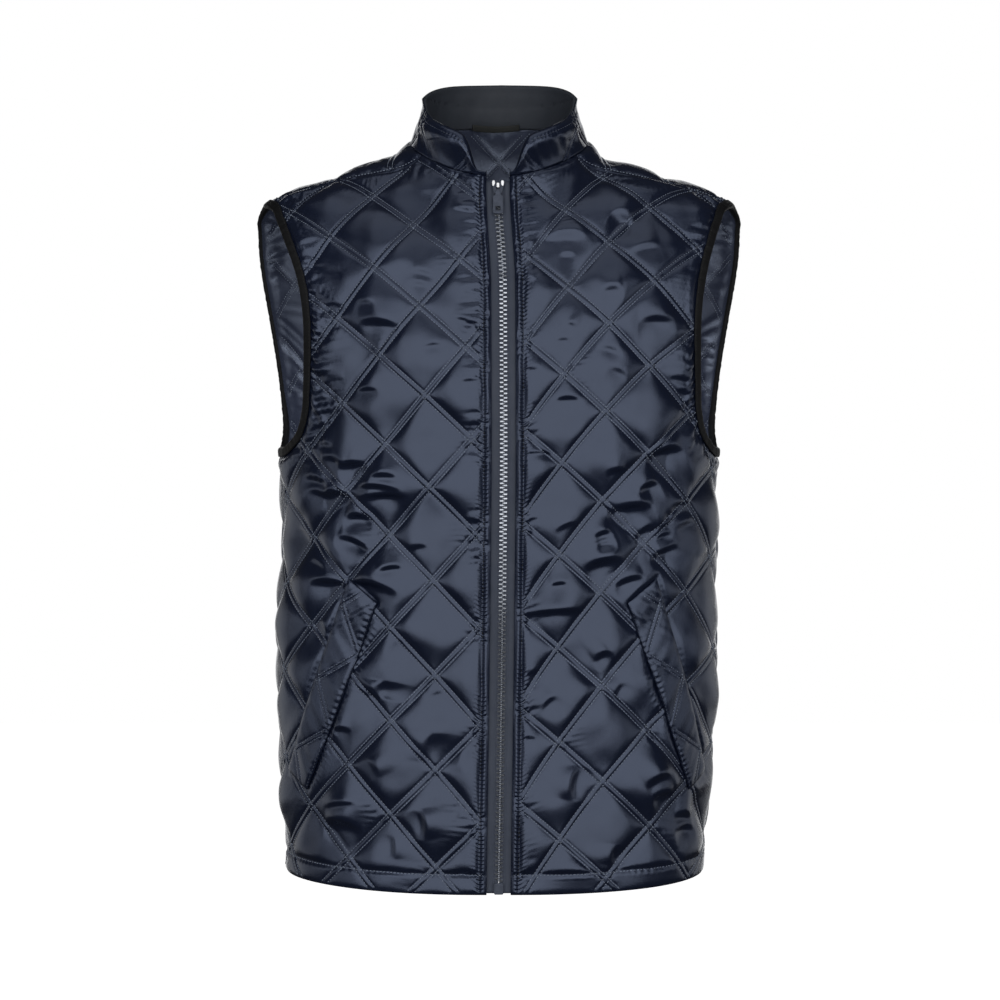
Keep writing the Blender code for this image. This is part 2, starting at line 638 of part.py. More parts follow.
def local(x, up, out):
    return slider_at + np.array([1.0, 0, 0]) * x + face_up * up + face_out * out

def prism(name, outline, half, material, bevel=0.0, centre_x=0.0):
    """Side outline (up, out) carried across from -half to +half."""
    m = len(outline)
    verts = [local(centre_x + x, u, o) for x in (-half, half) for u, o in outline]
    faces = [tuple(range(m))[::-1], tuple(range(m, 2 * m))]
    faces += [(i, (i + 1) % m, m + (i + 1) % m, m + i) for i in range(m)]
    return add_solid(name, verts, faces, material, False)

def united(base, pieces, cut=False):
    """One closed body from overlapping or cutting pieces."""
    for piece in pieces:
        m = base.modifiers.new("join", 'BOOLEAN')
        m.operation = 'DIFFERENCE' if cut else 'UNION'
        m.solver = 'EXACT'
        m.object = piece
    graph = bpy.context.evaluated_depsgraph_get()
    me = bpy.data.meshes.new_from_object(base.evaluated_get(graph))
    base.modifiers.clear()
    base.data = me
    for piece in pieces:
        bpy.data.objects.remove(piece, do_unlink=True)
    return base

h, t = SLIDER_H / 2, SLIDER_T
body = prism("zip_slider", [(-h, 0.0), (h, 0.0), (h, t - 0.0012), (h - 0.0012, t), (-h + 0.0012, t), (-h, t - 0.0012)],
             SLIDER_W / 2, METAL)
b0, b1 = 0.0005 - BRIDGE_H / 2, 0.0005 + BRIDGE_H / 2
post, top = 0.0011, t + BRIDGE_RISE + BRIDGE_T
bridge = prism("bridge", [(b0, t - 0.0005), (b0 + post, t - 0.0005), (b0 + post, t + BRIDGE_RISE), (b1 - post, t + BRIDGE_RISE),
                          (b1 - post, t - 0.0005), (b1, t - 0.0005), (b1, top - 0.0005), (b1 - 0.0005, top),
                          (b0 + 0.0005, top), (b0, top - 0.0005)], BRIDGE_W / 2, METAL)
united(body, [bridge])

# the pull turns about its bar, which runs across under the bridge
pivot = local(0.0, 0.0005, t + GAP + BAR / 2 + 0.0001)
axis_up, axis_out = 0.0005, t + GAP + BAR / 2 + 0.0001
lo, hi = axis_out - TAB_T / 2, axis_out + TAB_T / 2
low_end = axis_up + BAR / 2 - TAB_LONG
tab = prism("zip_pull", [(axis_up + BAR / 2, axis_out - BAR / 2), (axis_up + BAR / 2, axis_out + BAR / 2), (low_end, hi - 0.0001), (low_end, lo + 0.0001)],
            TAB_W / 2, PULL)
window = prism("window", [(axis_up - BAR / 2, lo - 0.002), (axis_up - BAR / 2, hi + 0.002),
                          (axis_up - BAR / 2 - 0.0034, hi + 0.002), (axis_up - BAR / 2 - 0.0034, lo - 0.002)],
               BRIDGE_W / 2 + 0.0004, PULL)
slot_mid = low_end + 0.0048
slot = prism("slot", [(slot_mid + TAB_SLOT[1] / 2, lo - 0.002), (slot_mid + TAB_SLOT[1] / 2, hi + 0.002),
                      (slot_mid - TAB_SLOT[1] / 2, hi + 0.002), (slot_mid - TAB_SLOT[1] / 2, lo - 0.002)],
             TAB_SLOT[0] / 2, PULL)
united(tab, [window, slot], cut=True)
hinge = bpy.data.objects.new("pull_axis", None)
hinge.location = Vector(tuple(map(float, pivot)))
bpy.context.scene.collection.objects.link(hinge)
tab.parent = hinge
tab.location = -hinge.location
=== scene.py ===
import bpy
import math
import numpy as np
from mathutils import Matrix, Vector, kdtree
from mathutils.geometry import delaunay_2d_cdt


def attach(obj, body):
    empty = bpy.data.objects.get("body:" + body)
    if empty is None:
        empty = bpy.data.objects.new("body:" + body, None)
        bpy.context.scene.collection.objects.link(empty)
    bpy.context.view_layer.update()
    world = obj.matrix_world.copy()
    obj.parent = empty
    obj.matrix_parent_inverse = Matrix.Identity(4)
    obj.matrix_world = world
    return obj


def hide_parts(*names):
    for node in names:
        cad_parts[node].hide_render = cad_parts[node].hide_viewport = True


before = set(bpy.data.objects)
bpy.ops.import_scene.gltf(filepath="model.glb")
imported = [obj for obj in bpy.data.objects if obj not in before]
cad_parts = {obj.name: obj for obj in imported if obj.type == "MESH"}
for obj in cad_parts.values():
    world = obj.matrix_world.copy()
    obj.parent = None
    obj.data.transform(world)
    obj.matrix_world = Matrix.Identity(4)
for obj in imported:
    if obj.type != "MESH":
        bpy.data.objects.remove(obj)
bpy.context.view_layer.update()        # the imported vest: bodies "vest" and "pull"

# ------------------------------------------------------------------ sizes
GAP = 0.0003            # clear distance between sewn pieces
PANEL_WALL = 0.0035     # two nylon layers with wadding between
COLLAR_WALL = 0.0030
FACING_WALL = 0.0010
BINDING_WALL = 0.0008
BINDING_WIDTH = 0.0076
BINDING_CLEAR = 0.0005
UNDERARM_EASE = 0.0012
TAPE_WALL = 0.0009
EDGE_X = 0.0115         # folded front edge, from the zip's middle line
CHAIN_X = 0.0042        # half width of the closed chain
CHAIN_DEPTH = 0.0023

HEM_SIDE_Z = -0.7225
HEM_FRONT_DROP = 0.0105
HEM_BACK_DROP = 0.0020

# section, z, half width, front depth, back depth, squareness
SECTIONS = [
    ("below hem", -0.760, 0.2080, 0.131, 0.121, 2.35),
    ("hem",       -0.725, 0.2090, 0.131, 0.121, 2.35),
    ("hip",       -0.600, 0.2155, 0.132, 0.120, 2.35),
    ("waist",     -0.480, 0.2180, 0.130, 0.114, 2.35),
    ("rib",       -0.380, 0.2170, 0.132, 0.118, 2.35),
    ("underarm",  -0.310, 0.2190, 0.137, 0.126, 2.30),
    ("chest",     -0.235, 0.2300, 0.138, 0.132, 2.25),
    ("blade",     -0.170, 0.2420, 0.131, 0.133, 2.20),
    ("yoke",      -0.110, 0.2510, 0.115, 0.125, 2.10),
    ("deltoid",   -0.078, 0.2480, 0.098, 0.114, 2.00),
    ("tip",       -0.056, 0.2280, 0.082, 0.102, 2.00),
    ("slope",     -0.030, 0.1600, 0.064, 0.088, 2.00),
    ("neck foot", -0.004, 0.0880, 0.050, 0.072, 2.00),
    ("neck in",    0.020, 0.0350, 0.030, 0.045, 2.00),
    ("cap",        0.045, 0.0120, 0.012, 0.016, 2.00),
]

# leaning neck: half width and half depth at z 0, their change per metre of
# height, the middle line's y at z 0 and its change per metre
NECK = dict(width=0.0800, width_slope=-0.13, depth=0.0810, depth_slope=-0.15,
            centre=-0.0120, lean=-0.10, floor=-0.055, blend=0.030)
Z_FRONT_NECK, Z_BACK_NECK, NECK_SADDLE = -0.0415, 0.0250, 0.012

# collar: degrees round the neck from the front, height over the neck seam
COLLAR = [(0, 0.0030), (8, 0.0035), (11.5, 0.0042), (14, 0.0090), (17, 0.0195), (20, 0.0285), (24, 0.0342),
          (30, 0.0362), (40, 0.0368), (60, 0.0362), (95, 0.0385), (140, 0.0425), (180, 0.0435)]
COLLAR_LEAN, COLLAR_UNEVEN = 0.30, 0.03   # forward lean of its front, uneven hang of its two ends

SHOULDER_NECK_DEG = 60.0          # where the forward shoulder seam meets the neck
SHOULDER_TIP = (0.2285, -0.0240)  # its outer end, x and y

# armhole edge: z and x down the front, then z and y up the back
ARM_FRONT = [(-0.069, 0.2225), (-0.083, 0.2170), (-0.100, 0.2105), (-0.120, 0.2035),
             (-0.150, 0.1960), (-0.180, 0.1925), (-0.215, 0.1920), (-0.245, 0.1925),
             (-0.270, 0.1940), (-0.290, 0.1995), (-0.3005, 0.2075)]
UNDERARM_Z = -0.3045
ARM_BACK = [(-0.3010, 0.016), (-0.286, 0.030), (-0.258, 0.038), (-0.215, 0.042),
            (-0.160, 0.042), (-0.110, 0.036), (-0.080, 0.024), (-0.064, 0.008)]

# sideways set of the hanging vest: z, shift of the whole, shift of the zip line
SWAY = [(-0.740, -0.0045, 0.0040), (-0.480, -0.0020, 0.0050), (-0.280, 0.0000, 0.0045),
        (-0.150, 0.0000, 0.0040), (-0.050, 0.0000, -0.0010), (0.080, 0.0010, 0.0000)]

# largest folds: face, x, z, degrees from level, length, width, depth
FOLDS = [
    ("front", -0.150, -0.385,  14, 0.150, 0.026, -0.0030),
    ("front",  0.150, -0.400, -16, 0.150, 0.026, -0.0030),
    ("front", -0.120, -0.500,  -8, 0.120, 0.024, -0.0022),
    ("front",  0.125, -0.480,  22, 0.120, 0.024, -0.0024),
    ("back",  -0.110, -0.420,  18, 0.170, 0.030, -0.0035),
    ("back",   0.095, -0.450, -14, 0.170, 0.030, -0.0035),
    ("back",   0.020, -0.560,   5, 0.200, 0.032, -0.0025),
]

# pocket welts: seam from the top end to the low end, then width and wall
WELT_TOP, WELT_LOW = (0.1170, -0.4440), (0.1860, -0.6380)
WELT_WIDTH, WELT_WALL, WELT_LIFT = 0.0370, 0.0025, 0.0006

# zip slider and pull, in the slider's own upright frame
SLIDER_Z = -0.0529
SLIDER_W, SLIDER_H, SLIDER_T, SLIDER_LIFT = 0.0124, 0.0130, 0.0042, 0.0007
BRIDGE_W, BRIDGE_H, BRIDGE_RISE, BRIDGE_T = 0.0022, 0.0056, 0.0020, 0.0008
BAR = 0.0012
TAB_W, TAB_LONG, TAB_T = 0.0098, 0.0286, 0.0013
TAB_SLOT = (0.0048, 0.0044)

# ----------------------------------------------------------- smooth tables
def smooth(xs, ys):
    """Cubic through a short table with no overshoot: value and slope."""
    xs, ys = np.asarray(xs, float), np.asarray(ys, float)
    h = np.diff(xs)
    d = np.diff(ys) / h
    m = np.zeros_like(ys)
    m[0], m[-1] = d[0], d[-1]
    for i in range(1, len(xs) - 1):
        if d[i - 1] * d[i] > 0:
            w1, w2 = 2 * h[i] + h[i - 1], h[i] + 2 * h[i - 1]
            m[i] = (w1 + w2) / (w1 / d[i - 1] + w2 / d[i])

    def at(x):
        x = np.clip(np.asarray(x, float), xs[0], xs[-1])
        i = np.clip(np.searchsorted(xs, x) - 1, 0, len(xs) - 2)
        t = (x - xs[i]) / h[i]
        value = ((1 + 2 * t) * (1 - t) ** 2 * ys[i] + t * (1 - t) ** 2 * h[i] * m[i]
                 + t * t * (3 - 2 * t) * ys[i + 1] + t * t * (t - 1) * h[i] * m[i + 1])
        slope = ((6 * t * t - 6 * t) * (ys[i] - ys[i + 1]) / h[i]
                 + (1 - 4 * t + 3 * t * t) * m[i] + (3 * t * t - 2 * t) * m[i + 1])
        return value, slope
    return at

def column(rows, k):
    return [r[k] for r in rows]

half_width = smooth(column(SECTIONS, 1), column(SECTIONS, 2))
front_depth = smooth(column(SECTIONS, 1), column(SECTIONS, 3))
back_depth = smooth(column(SECTIONS, 1), column(SECTIONS, 4))
squareness = smooth(column(SECTIONS, 1), column(SECTIONS, 5))
collar_height = smooth(np.radians(column(COLLAR, 0)), column(COLLAR, 1))
sway_all = smooth(column(SWAY, 0), column(SWAY, 1))
sway_zip = smooth(column(SWAY, 0), column(SWAY, 2))

# ---------------------------------------------------------------- the form
def torso(p):
    x, y, z = p[..., 0], p[..., 1], p[..., 2]
    a, da = half_width(z)
    n, _ = squareness(z)
    bf, dbf = front_depth(z)
    bb, dbb = back_depth(z)
    b, db = np.where(y < 0, bf, bb), np.where(y < 0, dbf, dbb)
    ex, ey = np.maximum(np.abs(x) / a, 1e-6), np.maximum(np.abs(y) / b, 1e-6)
    sx, sy = ex ** n, ey ** n
    s = np.maximum(sx + sy, 1e-9)
    r = s ** (1 / n)
    gx, gy = r / s * sx / ex / a, r / s * sy / ey / b
    gz = -r / s * (sx * da / a + sy * db / b)
    return (r - 1) / np.sqrt(gx * gx + gy * gy + gz * gz + 1e-9)

def neck_ring(z):
    zc = np.maximum(z, NECK["floor"])
    return (NECK["width"] + NECK["width_slope"] * zc,
            NECK["depth"] + NECK["depth_slope"] * zc,
            NECK["centre"] + NECK["lean"] * zc)

def neck(p):
    a, b, yc = neck_ring(p[..., 2])
    x, y = p[..., 0], p[..., 1] - yc
    r = np.sqrt((x / a) ** 2 + (y / b) ** 2) + 1e-9
    return (r - 1) / np.sqrt((x / a / a / r) ** 2 + (y / b / b / r) ** 2 + 1e-9)

def form(p):
    """Signed distance, about, to the outside of the cloth."""
    d1, d2, k = torso(p), neck(p), NECK["blend"]
    h = np.clip(0.5 + 0.5 * (d2 - d1) / k, 0, 1)
    return d2 * (1 - h) + d1 * h - k * h * (1 - h)

def gradient(p, e=2e-4):
    g = np.empty(p.shape)
    for i in range(3):
        o = np.zeros(3)
        o[i] = e
        g[..., i] = (form(p + o) - form(p - o)) / (2 * e)
    return g

def onto(p, along=None, steps=14):
    """Moves points onto the form, along a direction or straight to it."""
    p = np.array(p, float)
    for _ in range(steps):
        f, g = form(p), gradient(p)
        if along is None:
            step = g * (f / np.maximum((g * g).sum(-1), 1e-9))[..., None]
        else:
            d = np.broadcast_to(along, p.shape)
            gd = (g * d).sum(-1)
            gd = np.where(np.abs(gd) < 0.15, np.where(gd < 0, -0.15, 0.15), gd)
            step = d * (f / gd)[..., None]
        length = np.linalg.norm(step, axis=-1, keepdims=True)
        p = p - step * np.minimum(1, 0.03 / np.maximum(length, 1e-12))
    return p

def normals(p):
    g = gradient(p)
    return g / np.linalg.norm(g, axis=-1, keepdims=True)

def fold_depth(p):
    """Height of the largest folds over the smooth form."""
    h = np.zeros(p.shape[:-1])
    for face, x, z, degrees, length, width, depth in FOLDS:
        c, s = math.cos(math.radians(degrees)), math.sin(math.radians(degrees))
        dx, dz = p[..., 0] - x, p[..., 2] - z
        u, v = (dx * c + dz * s) / (length / 2), (-dx * s + dz * c) / width
        side = 1 / (1 + np.exp((p[..., 1] if face == "front" else -p[..., 1]) / 0.012))
        h += depth * np.exp(-u ** 4 - v * v) * side
    return h

def settle(p, n):
    """Adds the folds and the sideways set; returns the hanging points."""
    q = p + n * fold_depth(p)[..., None]
    front = np.clip(-p[..., 1] / 0.10, 0, 1) ** 2
    q[..., 0] += sway_all(p[..., 2])[0] + sway_zip(p[..., 2])[0] * front
    return q

# ------------------------------------------------------------ edge curves
def evenly(pts, n):
    """n + 1 points evenly spaced along a smooth line through pts."""
    pts = np.asarray(pts, float)
    c = np.r_[0, np.cumsum(np.linalg.norm(np.diff(pts, axis=0), axis=1))]
    m = np.gradient(pts, c, axis=0)
    t = np.linspace(0, c[-1], 40 * len(pts))
    i = np.clip(np.searchsorted(c, t) - 1, 0, len(c) - 2)
    h = (c[i + 1] - c[i])[:, None]
    u = (t - c[i])[:, None] / h
    q = ((1 + 2 * u) * (1 - u) ** 2 * pts[i] + u * (1 - u) ** 2 * h * m[i]
         + u * u * (3 - 2 * u) * pts[i + 1] + u * u * (u - 1) * h * m[i + 1])
    l = np.r_[0, np.cumsum(np.linalg.norm(np.diff(q, axis=0), axis=1))]
    at = np.linspace(0, l[-1], n + 1)
    return np.stack([np.interp(at, l, q[:, k]) for k in range(3)], 1)

def ring_z(phi):
    mid, amp = (Z_FRONT_NECK + Z_BACK_NECK) / 2, (Z_BACK_NECK - Z_FRONT_NECK) / 2
    return mid - amp * np.cos(phi) + NECK_SADDLE * np.sin(phi) ** 2

def round_neck(phi, z):
    phi = np.asarray(phi, float)
    z = np.broadcast_to(z, phi.shape)
    a, b, yc = neck_ring(z)
    d = np.stack([np.sin(phi) * a, -np.cos(phi) * b, 0 * z], -1)
    p = np.stack([0 * z, yc, z], -1) + d * 1.03
    return onto(p, along=d / np.linalg.norm(d, axis=-1, keepdims=True))

def edge_angle():
    """Angle round the neck at which the seam is EDGE_X from the middle."""
    lo, hi = 0.0, 0.5
    for _ in range(40):
        mid = (lo + hi) / 2
        lo, hi = (mid, hi) if round_neck([mid], ring_z(mid))[0, 0] < EDGE_X else (lo, mid)
    return mid

PHI_EDGE = edge_angle()
PHI_SHOULDER = math.radians(SHOULDER_NECK_DEG)

def hem_z(y):
    return np.where(y < 0, HEM_SIDE_Z - HEM_FRONT_DROP * np.clip(-y / 0.13, 0, 1) ** 1.5,
                    HEM_SIDE_Z - HEM_BACK_DROP * np.clip(y / 0.12, 0, 1))

def hem_line(x_from, x_to, back, n):
    """Hem edge from near the middle line to the side seam."""
    sign = 1 if back else -1
    t = np.linspace(0, math.pi / 2, 90)
    p = np.stack([x_from + (x_to - x_from) * np.sin(t), sign * 0.125 * np.cos(t),
                  np.full(t.shape, HEM_SIDE_Z)], 1)
    d = np.stack([np.sin(t), sign * np.cos(t), 0 * t], 1)
    for _ in range(5):
        p = onto(p, along=d, steps=6)
        p[0, 0], p[-1, 1] = x_from, 0.0
        p[:, 2] = hem_z(p[:, 1])
    p[:1] = onto(p[:1], along=np.array([0, 1.0, 0]))
    p[-1:] = onto(p[-1:], along=np.array([1.0, 0, 0]))
    return evenly(p, n)

def upright_line(x, back, z_low, z_high, n):
    z = np.linspace(z_low, z_high, 60)
    p = np.stack([np.full(60, x), np.full(60, 0.12 if back else -0.12), z], 1)
    return evenly(onto(p, along=np.array([0, 1.0, 0])), n)

def side_seam(n):
    z = np.linspace(HEM_SIDE_Z, UNDERARM_Z, 50)
    p = np.stack([np.full(50, 0.21), np.zeros(50), z], 1)
    return evenly(onto(p, along=np.array([1.0, 0, 0])), n)

TIP = onto(np.array([[SHOULDER_TIP[0], SHOULDER_TIP[1], -0.05]]), along=np.array([0, 0, 1.0]))[0]
UNDERARM = onto(np.array([[0.22, 0, UNDERARM_Z]]), along=np.array([1.0, 0, 0]))[0]

def armhole(back, n):
    """Armhole edge from the underarm up to the shoulder seam's tip."""
    if back:
        mid = onto(np.array([[0.23, y, z] for z, y in ARM_BACK]), along=np.array([1.0, 0, 0]))
    else:
        mid = onto(np.array([[x, -0.08, z] for z, x in ARM_FRONT[::-1]]), along=np.array([0, 1.0, 0]))
    return onto(evenly(np.vstack([UNDERARM, mid, TIP]), n))

def shoulder_seam(n):
    a = round_neck([PHI_SHOULDER], ring_z(PHI_SHOULDER))[0]
    t = np.linspace(0, 1, 40)[:, None]
    return evenly(onto(a * (1 - t) + TIP * t, along=np.array([0, 0, 1.0])), n)

def neck_seam(phi):
    return round_neck(phi, ring_z(phi))

def collar_points(phi, t):
    """Points of the collar, t from its seam to its top edge, and its height."""
    turn = np.minimum(phi, 2 * math.pi - phi)
    h = collar_height(turn + np.where(phi < math.pi, COLLAR_UNEVEN, -COLLAR_UNEVEN))[0]
    p = round_neck(phi, ring_z(phi) + h * t)
    w = np.clip((1.75 - turn) / 1.05, 0, 1)
    p[:, 1] -= COLLAR_LEAN * h * t * w * w * (3 - 2 * w)
    return p, h

# ------------------------------------------- cut pieces laid out flat
SIDE_ROWS, ARM_ROWS, NECK_ROWS, COLS = 24, 36, {False: 10, True: 18}, 20
MIDDLE_AT_UNDERARM = -0.405

def coons(low, high, left, right):
    n, m = len(left) - 1, len(low) - 1
    t = np.linspace(0, 1, n + 1)[:, None, None]
    s = np.linspace(0, 1, m + 1)[None, :, None]
    p = left[:, None] * (1 - s) + right[:, None] * s + low[None] * (1 - t) + high[None] * t
    return p - ((low[0] * (1 - s) + low[-1] * s) * (1 - t) + (high[0] * (1 - s) + high[-1] * s) * t)

def panel_grid(back):
    """Points of the form over a front, or over half the back."""
    mid_x = 0.0 if back else EDGE_X
    neck_rows = NECK_ROWS[back]
    phi = np.linspace(math.pi if back else PHI_EDGE, PHI_SHOULDER, neck_rows + 1)
    ring = neck_seam(phi)
    hem = hem_line(mid_x, UNDERARM[0], back, COLS)
    below = upright_line(mid_x, back, hem[0, 2], MIDDLE_AT_UNDERARM, SIDE_ROWS)
    above = upright_line(mid_x, back, MIDDLE_AT_UNDERARM, ring[0, 2], ARM_ROWS - neck_rows)
    left = np.vstack([below[:-1], above[:-1], ring])
    right = np.vstack([side_seam(SIDE_ROWS)[:-1], armhole(back, ARM_ROWS)])
    seam = shoulder_seam(COLS)
    left[0], right[0], left[-1], right[-1] = hem[0], hem[-1], seam[0], seam[-1]
    p = onto(coons(hem, seam, left, right))
    p[0], p[-1], p[:, 0], p[:, -1] = hem, seam, left, right
    return p

def flatten(p, mid_rows, mid_u, rounds=60):
    """Unrolls a grid of the form into the flat, keeping lengths."""
    R, C = p.shape[:2]
    N = R * C
    u = np.c_[np.zeros(R), np.cumsum(np.linalg.norm(np.diff(p, axis=1), axis=2), 1)] + np.abs(p[:, :1, 0])
    uv = np.stack([u, p[..., 2]], -1).reshape(N, 2)
    idx = np.arange(N).reshape(R, C)
    cells = np.stack([idx[:-1, :-1], idx[:-1, 1:], idx[1:, 1:], idx[1:, :-1]], -1).reshape(-1, 4)
    P = p.reshape(N, 3)
    q = P[cells]
    d = q - q.mean(1, keepdims=True)
    nrm = np.cross(q[:, 2] - q[:, 0], q[:, 3] - q[:, 1])
    nrm /= np.linalg.norm(nrm, axis=1, keepdims=True)
    e1 = q[:, 1] - q[:, 0]
    e1 -= nrm * (e1 * nrm).sum(1, keepdims=True)
    e1 /= np.linalg.norm(e1, axis=1, keepdims=True)
    e2 = np.cross(nrm, e1)
    flat = np.stack([(d * e1[:, None]).sum(2), (d * e2[:, None]).sum(2)], -1)
    A = np.zeros((N, N))
    I = np.eye(4) - 0.25
    for a in range(4):
        for b in range(4):
            np.add.at(A, (cells[:, a], cells[:, b]), I[a, b])
    weight, pin = 200.0, idx[:mid_rows, 0]
    Au, Av = A.copy(), A.copy()
    Au[pin, pin] += weight
    Av[0, 0] += 1.0
    iu, iv = np.linalg.inv(Au), np.linalg.inv(Av)
    for _ in range(rounds):
        c = uv[cells]
        c = c - c.mean(1, keepdims=True)
        sx = (flat * c).sum((1, 2))
        sy = (flat[..., 0] * c[..., 1] - flat[..., 1] * c[..., 0]).sum(1)
        r = np.sqrt(sx * sx + sy * sy) + 1e-12
        co, si = (sx / r)[:, None], (sy / r)[:, None]
        g = np.stack([flat[..., 0] * co - flat[..., 1] * si, flat[..., 0] * si + flat[..., 1] * co], -1)
        rhs = np.zeros((N, 2))
        np.add.at(rhs, cells, g)
        ru, rv = rhs[:, 0].copy(), rhs[:, 1].copy()
        ru[pin] += weight * mid_u
        rv[0] += P[0, 2]
        uv = np.stack([iu @ ru, iv @ rv], -1)
    return uv.reshape(R, C, 2)

def bilinear(table, r, c):
    i = np.clip(r.astype(int), 0, table.shape[0] - 2)
    j = np.clip(c.astype(int), 0, table.shape[1] - 2)
    a, b = (r - i)[:, None], (c - j)[:, None]
    return ((table[i, j] * (1 - b) + table[i, j + 1] * b) * (1 - a)
            + (table[i + 1, j] * (1 - b) + table[i + 1, j + 1] * b) * a)

class Pattern:
    """A cut piece: u across from the middle line, v up, both in metres."""
    def __init__(self, back):
        self.back = back
        self.grid = panel_grid(back)
        neck_rows = NECK_ROWS[back]
        self.mid = SIDE_ROWS + ARM_ROWS - neck_rows + 1
        self.flat = flatten(self.grid, self.mid, 0.0 if back else EDGE_X)
        f = self.flat
        self.lines = dict(hem=f[0], side=f[:SIDE_ROWS + 1, -1], arm=f[SIDE_ROWS:, -1],
                          shoulder=f[-1], neck=f[self.mid - 1:, 0])
        if not back:
            self.lines["zip"] = f[:self.mid, 0]
        self.tree = kdtree.KDTree(f.shape[0] * f.shape[1])
        for k, q in enumerate(f.reshape(-1, 2)):
            self.tree.insert((q[0], q[1], 0.0), k)
        self.tree.balance()

    def outline(self):
        f = self.flat
        if not self.back:
            return np.vstack([f[0, :-1], f[:-1, -1], f[-1, :0:-1], f[:0:-1, 0]])
        half = np.vstack([f[0, :-1], f[:-1, -1], f[-1, :0:-1], f[:self.mid - 2:-1, 0]])
        other = half[1:-1][::-1] * np.array([-1.0, 1.0])
        return np.vstack([half, other])

    def locate(self, uv):
        C = self.flat.shape[1]
        near = np.array([self.tree.find((a, b, 0.0))[1] for a, b in uv.tolist()])
        r, c = (near // C).astype(float), (near % C).astype(float)
        R = self.flat.shape[0]
        for _ in range(9):
            i = np.clip(r.astype(int), 0, R - 2)
            j = np.clip(c.astype(int), 0, C - 2)
            a, b = (r - i)[:, None], (c - j)[:, None]
            q0, q1, q2, q3 = self.flat[i, j], self.flat[i + 1, j], self.flat[i, j + 1], self.flat[i + 1, j + 1]
            res = uv - ((q0 * (1 - b) + q2 * b) * (1 - a) + (q1 * (1 - b) + q3 * b) * a)
            dr = (q1 - q0) * (1 - b) + (q3 - q2) * b
            dc = (q2 - q0) * (1 - a) + (q3 - q1) * a
            det = dr[:, 0] * dc[:, 1] - dr[:, 1] * dc[:, 0]
            r = np.clip(r + np.clip((res[:, 0] * dc[:, 1] - res[:, 1] * dc[:, 0]) / det, -1, 1), 0, R - 1)
            c = np.clip(c + np.clip((dr[:, 0] * res[:, 1] - dr[:, 1] * res[:, 0]) / det, -1, 1), 0, C - 1)
        return r, c

    def on_form(self, uv):
        """Form points and normals on the +X side."""
        q = uv.copy()
        if self.back:
            q[:, 0] = np.abs(q[:, 0])
        p = onto(bilinear(self.grid, *self.locate(q)), steps=4)
        return p, normals(p)

    def place(self, uv, sign):
        p, n = self.on_form(uv)
        s = np.where(uv[:, 0] < 0, -1.0, 1.0) if self.back else sign
        p[:, 0] *= s
        n[:, 0] *= s
        return settle(p, n), n

def inside(pts, poly):
    x, y = pts[:, 0], pts[:, 1]
    r = np.zeros(len(pts), bool)
    for (x1, y1), (x2, y2) in zip(poly, np.roll(poly, -1, 0)):
        if y1 != y2:
            r ^= ((y1 > y) != (y2 > y)) & (x < (x2 - x1) * (y - y1) / (y2 - y1) + x1)
    return r

def dist_line(pts, line):
    best = np.full(len(pts), 1e9)
    for a, b in zip(line[:-1], line[1:]):
        d = b - a
        t = np.clip(((pts - a) @ d) / ((d * d).sum() + 1e-15), 0, 1)
        e = pts - a - t[:, None] * d
        best = np.minimum(best, (e * e).sum(1))
    return np.sqrt(best)

def along_line(pts, line):
    """Length along a line to the place that is nearest to each point."""
    best, where, start = np.full(len(pts), 1e9), np.zeros(len(pts)), 0.0
    for a, b in zip(line[:-1], line[1:]):
        d = b - a
        length = math.sqrt((d * d).sum())
        t = np.clip(((pts - a) @ d) / (length * length + 1e-15), 0, 1)
        e = ((pts - a - t[:, None] * d) ** 2).sum(1)
        nearer = e < best
        best[nearer], where[nearer] = e[nearer], (start + t * length)[nearer]
        start += length
    return where

# ------------------------------------------------------------- quilting
class Quilt:
    """Quilt coordinates over a cut piece, whole numbers on stitch lines."""
    def __init__(self, p_row, q_row):
        self.k = np.array([p_row, q_row])

    def at(self, uv):
        u, v = (uv[..., 0] - 0.12) / 0.1, (uv[..., 1] + 0.37) / 0.35
        return np.stack([np.ones_like(u), u, v, u * u, u * v, v * v], -1) @ self.k.T

    def jacobian(self, uv):
        u, v = (uv[..., 0] - 0.12) / 0.1, (uv[..., 1] + 0.37) / 0.35
        z, o = np.zeros_like(u), np.ones_like(u)
        bu = np.stack([z, o, z, 2 * u, v, z], -1) / 0.1
        bv = np.stack([z, z, o, z, u, 2 * v], -1) / 0.35
        return np.stack([bu @ self.k.T, bv @ self.k.T], -1)

    def step(self, uv, dpq):
        """Flat move that a small move of the quilt coordinates makes."""
        J = self.jacobian(uv)
        det = J[..., 0, 0] * J[..., 1, 1] - J[..., 0, 1] * J[..., 1, 0]
        return np.stack([(J[..., 1, 1] * dpq[..., 0] - J[..., 0, 1] * dpq[..., 1]) / det,
                         (J[..., 0, 0] * dpq[..., 1] - J[..., 1, 0] * dpq[..., 0]) / det], -1)

    def invert(self, pq, start=(0.12, -0.37)):
        uv = np.zeros(pq.shape) + np.array(start)
        for _ in range(14):
            uv = uv + np.clip(self.step(uv, pq - self.at(uv)), -0.2, 0.2)
        return uv

CELL = 0.0614           # side of a quilted diamond
ROW = 1.0 / 24          # from a line's middle to each of its two stitch rows
QUILT = {
    "front_right": Quilt([-2.7037, 1.1986, 3.8569, 0.0126, 0.1721, 0.0336],
                         [5.858, 1.1216, -4.149, -0.0261, -0.0862, -0.1525]),
    "front_left": Quilt([-2.907, 1.0425, 3.9851, 0.0584, 0.0327, 0.0517],
                        [5.4531, 1.1825, -4.0516, -0.2699, 0.0659, -0.3135]),
    "back": Quilt([-2.85, 1.16, 3.99, 0, 0, 0], [5.634, 1.16, -3.99, 0, 0, 0]),
}

PER = 24                # relaxation nodes to a diamond's side

